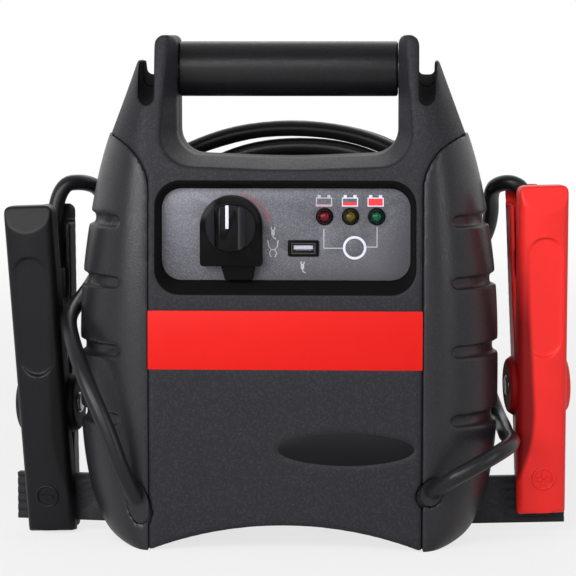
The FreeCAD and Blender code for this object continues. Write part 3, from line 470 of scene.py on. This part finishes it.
def ovalPoint(side, degrees, turns, grow=1.0):
    x, z, wide, tall, flat = coilShapes[side][:5]
    b = flat - tall
    a = flat - wide
    q = (a * a + b * b) / (2 * a)
    split = math.degrees(math.atan2(b, q - a))
    angle = (degrees + 180) % 360 - 180
    if abs(angle) <= split:
        hub, radius = (x + q - a, z), flat - q
    elif abs(angle) >= 180 - split:
        hub, radius = (x - q + a, z), flat - q
    else:
        hub, radius = (x, z - math.copysign(b, angle)), flat
    angle = math.radians(degrees)
    y = leadFacts["layer"] + leadFacts["pitch"] * turns
    return Vector((hub[0] + radius * grow * math.cos(angle), y, hub[1] + radius * grow * math.sin(angle)))


def leadPoints(side):
    route = leadRoutes[side]
    start, way = Vector(route["exit"][0]), Vector(route["exit"][1]).normalized()
    points = [start + way * reach for reach in leadFacts["straight"]]
    points += [Vector(p) for p in route["lower"]]
    first, last = coilShapes[side][5:]
    total = abs(last - first)
    sweep = 1 if last > first else -1
    grow = 1 / math.cos(math.radians(leadFacts["step"] / 2))  # the curve touches the oval between its points
    count = round(total / leadFacts["step"])

    def heading(degrees):
        angle = math.radians(degrees)
        return Vector((-math.sin(angle) * sweep, 0, math.cos(angle) * sweep))

    points += [ovalPoint(side, first, 0) - heading(first) * reach for reach in leadFacts["before"]]
    for i in range(count):
        share = (i + 0.5) / count
        points.append(ovalPoint(side, first + (last - first) * share, total / 360 * share, grow))
    points += [ovalPoint(side, last, total / 360) + heading(last) * reach for reach in leadFacts["after"]]
    points += [Vector(p) for p in route["upper"]]
    toClamp = clampSpace(side)
    mouth = toClamp @ Vector(leadFacts["mouth"])
    up = (toClamp.to_3x3() @ Vector(leadFacts["mouthWay"])).normalized()
    return [at(*p) for p in points] + [mouth + up * leadFacts["boot"] * mm, mouth]


def layLead(side):
    curve = bpy.data.curves.new(side + "Lead", "CURVE")
    curve.dimensions = "3D"
    spline = curve.splines.new("NURBS")
    points = leadPoints(side)
    spline.points.add(len(points) - 1)
    for knot, place in zip(spline.points, points):
        knot.co = (*place, 1)
    spline.order_u = 3
    spline.use_endpoint_u = True
    spline.resolution_u = 6
    curve.bevel_depth = leadFacts["radius"] * mm
    curve.bevel_resolution = 5
    curve.use_fill_caps = True
    lead = bpy.data.objects.new(side + "Lead", curve)
    bpy.context.scene.collection.objects.link(lead)
    curve.materials.append(paints["lead"])
    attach(lead, "pack")
    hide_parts(*(side + "_lead_" + part for part in ("lower", "coil", "upper")))


for side in sides:
    layLead(side)

print("stage 4: clamps and case")


def only(piece):  # make this the one selected, active object
    if bpy.context.mode != "OBJECT":
        bpy.ops.object.mode_set(mode="OBJECT")
    bpy.ops.object.select_all(action="DESELECT")
    piece.hide_set(False)
    piece.select_set(True)
    bpy.context.view_layer.objects.active = piece


def nodeCopy(node):
    words = node.split("_")
    name = words[0] + "".join(word.capitalize() for word in words[1:])
    piece = bpy.data.objects.new(name, cadNodes[node].data.copy())
    bpy.context.scene.collection.objects.link(piece)
    only(piece)
    bpy.ops.object.mode_set(mode="EDIT")
    bpy.ops.mesh.select_all(action="SELECT")
    bpy.ops.mesh.remove_doubles(threshold=0.000002)
    bpy.ops.mesh.dissolve_limited(angle_limit=math.radians(0.5))
    bpy.ops.object.mode_set(mode="OBJECT")
    return piece


def applyModifier(piece, kind, **settings):
    only(piece)
    bpy.ops.object.modifier_add(type=kind)
    modifier = piece.modifiers[-1]
    for key, value in settings.items():
        setattr(modifier, key, value)
    bpy.ops.object.modifier_apply(modifier=modifier.name)


def placed(piece, matrix):  # moves the mesh itself, so the object stays at the origin
    only(piece)
    piece.matrix_world = matrix
    bpy.ops.object.transform_apply(location=True, rotation=True, scale=True)
    return piece


def added(operator, **settings):
    if bpy.context.mode != "OBJECT":
        bpy.ops.object.mode_set(mode="OBJECT")
    bpy.ops.object.select_all(action="DESELECT")
    operator(**settings)
    return bpy.context.object


def block(low, high):  # a box between two corners
    low, high = Vector(low), Vector(high)
    piece = added(bpy.ops.mesh.primitive_cube_add, size=1)
    return placed(piece, Matrix.Translation((low + high) / 2) @ Matrix.Diagonal((*(high - low), 1)))


def disc(centre, radius, depth, axis="Y", vertices=72):  # a cylinder about its centre
    piece = added(bpy.ops.mesh.primitive_cylinder_add, vertices=vertices, radius=radius, depth=depth)
    turn = turned(90, "X") if axis == "Y" else Matrix.Identity(4)
    return placed(piece, Matrix.Translation(centre) @ turn)


def loop(centre, major, minor):  # a torus that lies in the plane of the panel
    piece = added(bpy.ops.mesh.primitive_torus_add, major_radius=major, minor_radius=minor, major_segments=64,
                  minor_segments=16)
    return placed(piece, Matrix.Translation(centre) @ turned(90, "X"))


def clearSelection(mesh):
    for part in [*mesh.vertices, *mesh.edges, *mesh.polygons]:
        part.select = False


def wedge(centre, small, large, depth):  # a tapered block: small face towards +Y, large face towards -Y
    corner = math.sqrt(2)  # so that the sides lie 1 from the middle
    piece = added(bpy.ops.mesh.primitive_cone_add, vertices=4, radius1=corner, radius2=corner, depth=1)
    placed(piece, turned(45, "Z"))
    clearSelection(piece.data)
    for face in piece.data.polygons:
        face.select = face.normal.z > 0.9
    bpy.context.tool_settings.mesh_select_mode = (False, False, True)
    bpy.ops.object.mode_set(mode="EDIT")
    bpy.ops.transform.resize(value=(large[0] / small[0], large[1] / small[1], 1), center_override=(0, 0, 0.5))
    bpy.ops.object.mode_set(mode="OBJECT")
    return placed(piece, Matrix.Translation(centre) @ turned(90, "X") @ Matrix.Diagonal((*small, depth, 1)))


def bevelled(piece, width, segments):  # every sharp edge
    applyModifier(piece, "BEVEL", width=width, segments=segments, limit_method="ANGLE",
                  angle_limit=math.radians(25))
    return piece


def bevelledAlong(piece, width, segments, way):  # the edges along one direction: 0 is X, 1 is Y, 2 is Z
    only(piece)
    mesh = piece.data
    clearSelection(mesh)
    for edge in mesh.edges:
        line = mesh.vertices[edge.vertices[0]].co - mesh.vertices[edge.vertices[1]].co
        edge.select = max(range(3), key=lambda i: abs(line[i])) == way
    bpy.context.tool_settings.mesh_select_mode = (False, True, False)
    bpy.ops.object.mode_set(mode="EDIT")
    bpy.ops.mesh.bevel(offset=width, segments=segments, affect="EDGES")
    bpy.ops.object.mode_set(mode="OBJECT")
    return piece


def combine(piece, tool, operation):
    applyModifier(piece, "BOOLEAN", object=tool, operation=operation, solver="EXACT")
    bpy.data.objects.remove(tool)


def joined(first, *others):
    only(first)
    for other in others:
        other.select_set(True)
    bpy.ops.object.join()
    return first


def soften(piece, cell, rounds):  # one even skin of small faces, then its edges worn round
    applyModifier(piece, "REMESH", mode="VOXEL", voxel_size=cell, adaptivity=0.0)
    applyModifier(piece, "SMOOTH", factor=0.5, iterations=rounds)
    piece.data.calc_loop_triangles()
    print(piece.name, len(piece.data.loop_triangles), "triangles")
    return piece


def settle(piece, paint, node, angle=32):  # the finished piece stands for a CAD node
    only(piece)
    bpy.ops.object.shade_smooth_by_angle(angle=math.radians(angle))
    paintOver(piece, paint)
    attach(piece, bodyOf[node])
    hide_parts(node)
    return piece


def addOn(piece, name, paint, body="pack"):  # a finished piece that stands for no node
    piece.name = name
    paintOver(piece, paint)
    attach(piece, body)


frontHandle = {  # in the clamp's own millimetres
    "foot": (1.0, -12.7), "head": (188.0, -33.9),  # height and depth of the front's two ends
    "half": 13.7, "swell": 3.0, "crownBack": 1.8, "crownFaces": 160,
    "wall": 14.0, "round": 6.0, "roundBack": 4.0,  # the long edges: half width, radius, and how deep they go
    "headCorner": (10, 185, 4),  # middle and radius of the rounded upper corners
    "brow": ((-12, -32.5, 162), (12, -22, 186)),
    "scoop": (173.5, 17.0),  # height where the slanted head starts, and its slope
    "hollow": (91.5, 160.0, 2.2, 10),  # lowest and highest point, depth, half width
    "cell": 0.7, "rounds": 9,
    "mark": (21.0, 6.0, 0.8), "sunk": 0.25,  # height and radii of the ring
    "sign": (3.6, 0.9), "signDepth": (-1.2, 0.6),  # half length and width of - and +
    "cutter": ((-30, -40, 0), (30, 0, 60)), "hollowCut": 12,
}
rearHandle = {"low": (-10.85, -30, -30), "high": (10.85, 60, 187), "corner": 5, "cell": 0.8, "rounds": 4}


def handleFront(z):  # the crown of a handle at a height above the jaw's tip
    (z0, y0), (z1, y1) = frontHandle["foot"], frontHandle["head"]
    return y0 + (y1 - y0) * (z - z0) / (z1 - z0) - frontHandle["swell"]


def layFrontHandle(side):
    f = frontHandle
    toClamp = clampSpace(side)
    piece = placed(nodeCopy(side + "_clamp_front"), toClamp.inverted())
    (z0, y0), (z1, y1) = f["foot"], f["head"]
    lean = Matrix.Rotation(math.atan2(y0 - y1, z1 - z0), 4, "X")
    halfWay = Matrix.Translation((0, (y0 + y1) / 2, (z0 + z1) / 2)) @ lean
    reach = math.hypot(y1 - y0, z1 - z0) / 2
    half, swell = f["half"], f["swell"]
    radius = (half ** 2 + swell ** 2) / (2 * swell)
    crown = disc((0, radius - swell, 0), radius, 2 * reach, "Z", f["crownFaces"])
    combine(crown, block((-half, -10, -reach - 1), (half, f["crownBack"], reach + 1)), "INTERSECT")
    combine(piece, placed(crown, halfWay), "UNION")
    combine(piece, block(*f["brow"]), "UNION")
    outside = f["wall"] + 2
    for sign in (-1, 1):
        x, y = sign * (f["wall"] - f["round"]), f["roundBack"]
        x0, x1 = sorted((x, sign * outside))
        corner = block((x0, -6, -reach - 9), (x1, y, reach + 9))
        combine(corner, disc((x, y, 0), f["round"], 2 * reach + 20, "Z", 96), "DIFFERENCE")
        combine(piece, placed(corner, halfWay), "DIFFERENCE")
        x, z, radius = f["headCorner"]
        x0, x1 = sorted((sign * x, sign * outside))
        corner = block((x0, -50, z), (x1, 0, z + 7))
        combine(corner, disc((sign * x, -25, z), radius, 60, "Y", 64), "DIFFERENCE")
        combine(piece, corner, "DIFFERENCE")
    level, slope = f["scoop"]
    cutter = block(*f["cutter"])
    placed(cutter, Matrix.Translation((0, handleFront(level), level)) @ turned(-slope, "X"))
    combine(piece, cutter, "DIFFERENCE")
    low, high, depth, wide = f["hollow"]
    centre = (low + high) / 2
    end = (high - low) / 2 - wide
    cut = f["hollowCut"]
    bits = [block((-wide, -cut, -end), (wide, 0, end))]
    bits += [disc((0, -cut / 2, place), wide, cut) for place in (end, -end)]
    for bit in bits:
        placed(bit, Matrix.Translation((0, handleFront(centre) + depth, centre)) @ lean)
        combine(piece, bit, "DIFFERENCE")
    soften(piece, f["cell"], f["rounds"])
    level, size, wire = f["mark"]
    long, thick = f["sign"]
    front, back = f["signDepth"]
    bits = [loop((0, 0, 0), size, wire), block((-long, front, -thick), (long, back, thick))]
    if side == "right":
        bits.append(block((-thick, front, -long), (thick, back, long)))
    for bit in bits:
        placed(bit, Matrix.Translation((0, handleFront(level) + f["sunk"], level)) @ lean)
    joined(piece, *bits)
    settle(placed(piece, toClamp), side + "Handle", side + "_clamp_front", angle=60)


def layRearHandle(side, paint):
    f = rearHandle
    toClamp = clampSpace(side)
    piece = placed(nodeCopy(side + "_clamp_rear"), toClamp.inverted())
    combine(piece, bevelledAlong(block(f["low"], f["high"]), f["corner"], segments=8, way=1), "INTERSECT")
    soften(piece, f["cell"], f["rounds"])
    settle(placed(piece, toClamp), paint, side + "_clamp_rear", angle=60)


springFacts = {
    "wire": 1.2, "mean": 6.6,  # radius of the wire and of the coil
    "side": -6.7, "splay": 22.0,  # where the leg lies, and its lean in degrees
    "leg": 36.0, "overlap": 2.2, "bevel": 0.3, "slack": (0.02, 0.2),
}


def laySpring(side):  # the coil stays on its pin, and the leg behind the front handle swings with that handle
    f = springFacts
    toClamp = clampSpace(side)
    splay = math.radians(f["splay"])
    foot = Vector((f["side"], -f["mean"] * math.cos(splay), pivotHeight - f["mean"] * math.sin(splay)))
    way = Vector((0, -math.sin(splay), math.cos(splay)))
    coil = placed(nodeCopy(side + "_clamp_spring"), toClamp.inverted())
    clearSelection(coil.data)
    ahead, around = f["slack"]
    for face in coil.data.polygons:
        reach = (face.center - foot).dot(way)
        face.select = reach > ahead and (face.center - foot - way * reach).length < f["wire"] + around
    bpy.context.tool_settings.mesh_select_mode = (False, False, True)
    bpy.ops.object.mode_set(mode="EDIT")
    bpy.ops.mesh.delete(type="FACE")
    bpy.context.tool_settings.mesh_select_mode = (True, False, False)
    bpy.ops.mesh.select_all(action="SELECT")
    bpy.ops.mesh.fill_holes(sides=0)
    bpy.ops.object.mode_set(mode="OBJECT")
    settle(placed(coil, toClamp), "steel", side + "_clamp_spring", angle=60)
    leg = disc((0, 0, 0), f["wire"], f["leg"] + f["overlap"], "Z", vertices=24)
    bevelled(leg, f["bevel"], segments=2)
    placed(leg, Matrix.Translation(foot + way * (f["leg"] - f["overlap"]) / 2) @ turned(f["splay"], "X"))
    only(placed(leg, toClamp))
    bpy.ops.object.shade_smooth_by_angle(angle=math.radians(40))
    addOn(leg, side + "SpringLeg", "steel", side + "_lever")


glandFacts = {
    "radius": 6.5, "length": 26, "middle": -3, "sunk": 0.4,
    # a point on the bumper's surface beside the lead, and the way that surface faces
    "left": ((-84.0, -50.6, 32.0), (-0.35, -0.93, -0.04)),
    "right": ((85.5, -50.3, 38.0), (0.36, -0.93, -0.02)),
}


def layGland(side):  # a plug cut off level with the bumper
    f = glandFacts
    start, way = (Vector(part) for part in leadRoutes[side]["exit"])
    point, facing = (Vector(part) for part in f[side])
    turn = way.to_track_quat("Z", "Y").to_matrix().to_4x4()
    piece = placed(disc((0, 0, f["middle"]), f["radius"], f["length"], "Z"), Matrix.Translation(start) @ turn)
    bpy.ops.object.mode_set(mode="EDIT")
    bpy.ops.mesh.select_all(action="SELECT")
    bpy.ops.mesh.bisect(plane_co=point - facing * f["sunk"], plane_no=facing, use_fill=True, clear_outer=True)
    bpy.ops.object.mode_set(mode="OBJECT")
    settle(placed(piece, caseSpace), "bumper", side + "_gland").name = side + "Gland"


softTable = {  # node: paint, size of the small faces in millimetres, rounds of smoothing
    "front_shell": ("case", 1.45, 3), "rear_shell": ("case", 1.45, 3),
    "left_bumper": ("bumper", 1.1, 6), "right_bumper": ("bumper", 1.1, 6),
}
mouldTable = {  # node: paint, edge width in millimetres
    "handle_grip": ("grip", 0.6), "control_panel": ("panel", 0.2), "switch_shroud": ("gloss", 0.6),
    "test_button": ("panel", 0.2), "red_band": ("red", 0.15), "badge_plate": ("badge", 0.3),
    "usb_frame": ("gloss", 0.2), "cable_cleat_top": ("case", 0.8), "cable_cleat_low": ("case", 0.8),
    "left_lug": ("case", 0.5), "right_lug": ("case", 0.5),
    "left_clamp_pin": ("steel", 0.4), "right_clamp_pin": ("steel", 0.4),
    "left_clamp_boot": ("lead", 0.6), "right_clamp_boot": ("lead", 0.6),
    "charge_inlet": ("case", 0.4), "inlet_cover": ("bumper", 0.5),
}
plainPaints = {  # nodes whose CAD shape is right as it is
    "housing_screws": "steel", "handle_core": "steel", "battery_case": "battery", "battery_lid": "battery",
    "battery_terminals": "copper", "battery_link": "copper", "switch_shaft": "steel", "switch_body": "case",
    "usb_can": "darkSteel", "red_led": "redLens", "yellow_led": "yellowLens", "green_led": "greenLens",
    "circuit_board": "board", "left_front_jaw": "copper", "left_rear_jaw": "copper",
    "right_front_jaw": "copper", "right_rear_jaw": "copper",
}


def mould(node, paint, width):
    piece = nodeCopy(node)
    applyModifier(piece, "BEVEL", width=width * mm, segments=2, limit_method="ANGLE",
                  angle_limit=math.radians(30), use_clamp_overlap=True, miter_outer="MITER_ARC")
    settle(piece, paint, node)


for side, paint in (("left", "clampBlack"), ("right", "clampRed")):
    layFrontHandle(side)
    layRearHandle(side, paint)
for node, (paint, cell, rounds) in softTable.items():
    settle(soften(nodeCopy(node), cell * mm, rounds), paint, node, angle=60)
for side in sides:
    layGland(side)
    laySpring(side)
for node, (paint, width) in mouldTable.items():
    mould(node, paint, width)
for node, paint in plainPaints.items():
    paintOver(cadNodes[node], paint)

print("stage 5: panel details")

knobFacts = {
    "back": 10.3,  # how far the knob stands before the panel
    "base": (2.3, 14.0, 4.6), "top": (7.5, 13.0, 8.6),  # how far forward the middle lies, radius, depth
    "bevel": 0.7, "faces": 96,
    "barPlace": (0.4, 8.0), "bar": ((9.0, 14.2), (6.0, 14.2), 7.6), "barBevel": 1.5,
    "groove": (4.3, 13.2, 0.35),
    "pointer": ((-2.3, -11.95, -0.3), (-0.5, -11.3, 12.6)), "pointerBevel": 0.15,
    "rim": 12.7, "edgeFront": -4.7, "flatFront": -5.2,
}


def layKnob():
    f = knobFacts
    x, z = panelFacts["dial"]
    back = panelFacts["face"] - f["back"]

    def roundPlate(forward, radius, depth):
        return bevelled(disc((x, back - forward, z), radius, depth, vertices=f["faces"]), f["bevel"], 3)

    knob = roundPlate(*f["base"])
    shift, forward = f["barPlace"]
    bar = bevelled(wedge((x - shift, back - forward, z), *f["bar"]), f["barBevel"], 5)
    combine(bar, roundPlate(*f["top"]), "INTERSECT")
    combine(knob, bar, "UNION")
    level, major, minor = f["groove"]
    joined(knob, loop((x, back - level, z), major, minor))
    settle(placed(knob, caseSpace), "knob", "power_knob", angle=40).name = "powerKnob"
    # the bar's right flank gets a painted highlight, a lighter copy of the knob's plastic; the front flats get
    # a lighter, duller copy, so the bar stands out in tone
    for paint in ("knobFlat", "knobPaintedHighlight"):
        knob.data.materials.append(paints[paint])
    for face in knob.data.polygons:
        place = (face.center - middle) / mm - Vector((x, back, z))
        facesRight = face.normal.x > 0.3 and abs(face.normal.z) < 0.3
        if facesRight and math.hypot(place.x, place.z) < f["rim"] and place.y < f["edgeFront"]:
            face.material_index = 2
        elif face.normal.y < -0.9 and place.y > f["flatFront"]:
            face.material_index = 1
    low, high = (Vector((x, back, z)) + Vector(corner) for corner in f["pointer"])
    pointer = bevelled(block(low, high), f["pointerBevel"], 2)
    settle(placed(pointer, caseSpace), "white", "knob_pointer").name = "knobPointer"


portFacts = {
    "tongue": ((-5.4, 0.1, -0.7), (5.4, 11, 1.5)), "bevel": 0.15,
    "contact": ((-4.3, -0.15, -1.5), (-2.8, 9, -0.75)), "contactPitch": 2.35, "contactCount": 4,
}


def layPort():
    f = portFacts
    x, z = panelFacts["port"]
    mouth = Vector((x, panelFacts["face"], z))
    tongue = bevelled(block(*(mouth + Vector(corner) for corner in f["tongue"])), f["bevel"], 1)
    settle(placed(tongue, caseSpace), "pale", "usb_tongue").name = "usbTongue"
    contacts = []
    for i in range(f["contactCount"]):
        step = mouth + Vector((f["contactPitch"] * i, 0, 0))
        contacts.append(block(*(step + Vector(corner) for corner in f["contact"])))
    addOn(placed(joined(*contacts), caseSpace), "usbContacts", "darkSteel")


def layLampRings():
    proud, major, minor = panelFacts["ring"]
    y, z = panelFacts["face"] - proud, panelFacts["lampZ"]
    rings = [loop((x, y, z), major, minor) for x in panelFacts["lampX"]]
    rings = placed(joined(*rings), caseSpace)
    bpy.ops.object.shade_smooth()
    addOn(rings, "lampRings", "knob")


printDepth = 0.03
levelLift = 0.04  # the charge levels stand a little before the signs


def strip(points, widths):  # the outline of a line whose width changes along it
    points = [Vector(p) for p in points]
    left, right = [], []
    for i, (p, width) in enumerate(zip(points, widths)):
        way = (points[min(i + 1, len(points) - 1)] - points[max(i - 1, 0)]).normalized()
        across = Vector((-way.y, way.x)) * width / 2
        left.append(p + across)
        right.append(p - across)
    return left + right[::-1]


def arcPoints(x, z, radius, first, last, count):
    angles = [math.radians(first + (last - first) * i / count) for i in range(count + 1)]
    return [(x + radius * math.cos(angle), z + radius * math.sin(angle)) for angle in angles]


def ringPoints(x, z, radius, count):
    return arcPoints(x, z, radius, 0, 360 - 360 / count, count - 1)


def plate(x0, x1, z0, z1):
    return [(x0, z0), (x1, z0), (x1, z1), (x0, z1)]


def moved(shape, x, z, size=1):
    return [(x + p[0] * size, z + p[1] * size) for p in shape]


def layMarks(name, paint, shapes, lift=printDepth):  # print on the panel; a shape is its outline and holes
    made = []
    for outlines in shapes:
        curve = bpy.data.curves.new(name, "CURVE")
        curve.dimensions = "2D"
        curve.fill_mode = "BOTH"
        curve.extrude = printDepth
        for outline in outlines:
            spline = curve.splines.new("POLY")
            spline.points.add(len(outline) - 1)
            for knot, place in zip(spline.points, outline):
                knot.co = (place[0], place[1], 0, 1)
            spline.use_cyclic_u = True
        sign = bpy.data.objects.new(name, curve)
        bpy.context.scene.collection.objects.link(sign)
        only(sign)
        bpy.ops.object.convert(target="MESH")
        made.append(bpy.context.object)
    marks = joined(*made)
    placed(marks, caseSpace @ Matrix.Translation((0, panelFacts["face"] - lift, 0)) @ turned(90, "X"))
    addOn(marks, name, paint)


signs = {  # outlines in millimetres about each sign's own point
    "battery": [(-4.5, 0), (4.5, 0), (4.5, 5), (3.6, 5), (3.6, 6.4), (1.8, 6.4), (1.8, 5),
                (-1.8, 5), (-1.8, 6.4), (-3.6, 6.4), (-3.6, 5), (-4.5, 5)],
    "batteryZ": 191.2, "batteryShift": (-0.3, -0.3, -0.6),
    "inside": (3.95, 0.55),  # half width and floor
    "levels": (1.3, 2.4, 4.45),  # the charge that each sign shows
    "ring": (6.5, 5.1),
    "lines": [(20.8, 21.3, 167.8, 178.7), (21.3, 31.6, 167.8, 168.3), (44.6, 50.3, 168.5, 169.0),
              (50.3, 50.8, 168.5, 179.9)],
    "turn": (-30.6, 176.4, 22.4, 86, 18, 24), "turnWidth": (0.5, 0.07), "turnDots": (0.35, 0.4),
    "plug": [plate(-0.32, 0.32, -1.0, 0.05), plate(-0.42, -0.2, 0.05, 0.5), plate(0.2, 0.42, 0.05, 0.5),
             strip([(0, -1.0), (0, -1.3), (0.25, -1.6), (0.6, -1.7)], [0.2] * 4)],
    "plugs": [(-7.2, 178.2, 3.0), (9.2, 159.2, 2.8)],
    "jaw": [(2.9, 4.6), (2.3, 1.2), (1.0, -0.6), (2.0, -2.6), (1.1, -4.6)],
    "jawWidths": [0.7, 0.6, 0.5, 0.6, 0.7],
    "jawPin": plate(-1.0, 1.0, -0.9, -0.3), "clamp": (-7.2, 167.7),
}


def layBatterySigns():
    half, floor = signs["inside"]
    places = [(x + shift, signs["batteryZ"]) for x, shift in zip(panelFacts["lampX"], signs["batteryShift"])]
    frames = [[moved(signs["battery"], *place), moved(plate(-half, half, floor, signs["levels"][-1]), *place)]
              for place in places]
    levels = [[moved(plate(-half, half, floor, level), *place)]
              for place, level in zip(places, signs["levels"])]
    layMarks("chargeSigns", "white", frames[1:])
    layMarks("emptySign", "pale", frames[:1])
    layMarks("chargeLevels", "printRed", levels[1:], levelLift)
    layMarks("emptyLevel", "pink", levels[:1], levelLift)


def layPrint():
    x, z = panelFacts["button"]
    layMarks("buttonRing", "white", [[ringPoints(x, z, radius, 72) for radius in signs["ring"]]])
    layMarks("buttonLines", "pale", [[plate(*line)] for line in signs["lines"]])
    turn = arcPoints(*signs["turn"])
    thin, growth = signs["turnWidth"]
    dots = [[ringPoints(*place, radius, 12)] for place, radius in zip(turn, signs["turnDots"])]
    line = turn[3:]
    layMarks("turnArc", "faded", [[strip(line, [thin + growth * i for i in range(len(line))])]] + dots)
    plugs = [[moved(shape, *place)] for place in signs["plugs"] for shape in signs["plug"]]
    layMarks("plugSigns", "pale", plugs)
    jaws = [strip([(sign * p[0], p[1]) for p in signs["jaw"]], signs["jawWidths"]) for sign in (-1, 1)]
    layMarks("clampSign", "pale", [[moved(shape, *signs["clamp"])] for shape in jaws + [signs["jawPin"]]])


layKnob()
layPort()
layLampRings()
layBatterySigns()
layPrint()

print("stage 6: floor and backdrop")

stage = {
    "floorSize": 14.0, "floorGrey": 0.8, "floorRough": 0.8, "floorGlow": 0.75, "glowAll": (1.6, 1.1),
    "worldLight": 0.2, "mirrorFloor": 0.3, "mirrorFront": 0.12, "mirrorTurn": (-0.5, 0.35),
}


def layFloor():  # white to the camera, most of all far out, with the object's shadow kept
    bpy.ops.object.select_all(action="DESELECT")
    bpy.ops.mesh.primitive_plane_add(size=stage["floorSize"], location=middle)
    floor = bpy.context.object
    floor.name = "floor"
    paint = Paint("floorWhite")
    paint.set(Base_Color=grey(stage["floorGrey"]), Roughness=stage["floorRough"])
    glow = paint.node("Emission", None, {"Color": grey(1.0), "Strength": 1.0})
    seen = paint.node("LightPath", pick="Is Camera Ray")
    mirrored = paint.node("LightPath", pick="Is Glossy Ray")
    reach = paint.node("VectorMath", {"operation": "LENGTH"}, {0: paint.place}, "Value")
    far = reach.above(*stage["glowAll"])
    share = far * (1 - stage["floorGlow"]) + stage["floorGlow"]
    mix = paint.node("MixShader", None, {0: (seen + mirrored * stage["mirrorFloor"]).atMost(1.0) * share,
                                         1: Link(paint, paint.shader.outputs[0]), 2: glow})
    paint.feed(paint.tree.nodes["Material Output"].inputs["Surface"], mix)
    floor.data.materials.append(paint.material)


def hangBackdrop():  # white to the camera; what mirrors it sees a white back and a dim front
    world = bpy.data.worlds.new("studio")
    bpy.context.scene.world = world
    world.use_nodes = True
    sky = Nodes(world.node_tree)
    seen, mirrored, through = (sky.node("LightPath", pick="Is " + ray + " Ray")
                               for ray in ("Camera", "Glossy", "Transmission"))
    way = sky.node("TexCoord", pick="Generated")
    depth = sky.node("SeparateXYZ", None, {0: way}, "Y")
    back, front = stage["mirrorTurn"]
    bright = sky.node("MapRange", {"interpolation_type": "SMOOTHSTEP"},
                      {"Value": depth, "From Min": back, "From Max": front, "To Min": stage["mirrorFront"]})
    total = (seen + mirrored * bright + through).atMost(1.0)
    light = stage["worldLight"]
    background = sky.tree.nodes["Background"]
    sky.feed(background.inputs["Color"], grey(1.0))
    sky.feed(background.inputs["Strength"], total * (1 - light) + light)


layFloor()
hangBackdrop()
bpy.context.scene.view_settings.view_transform = "Standard"
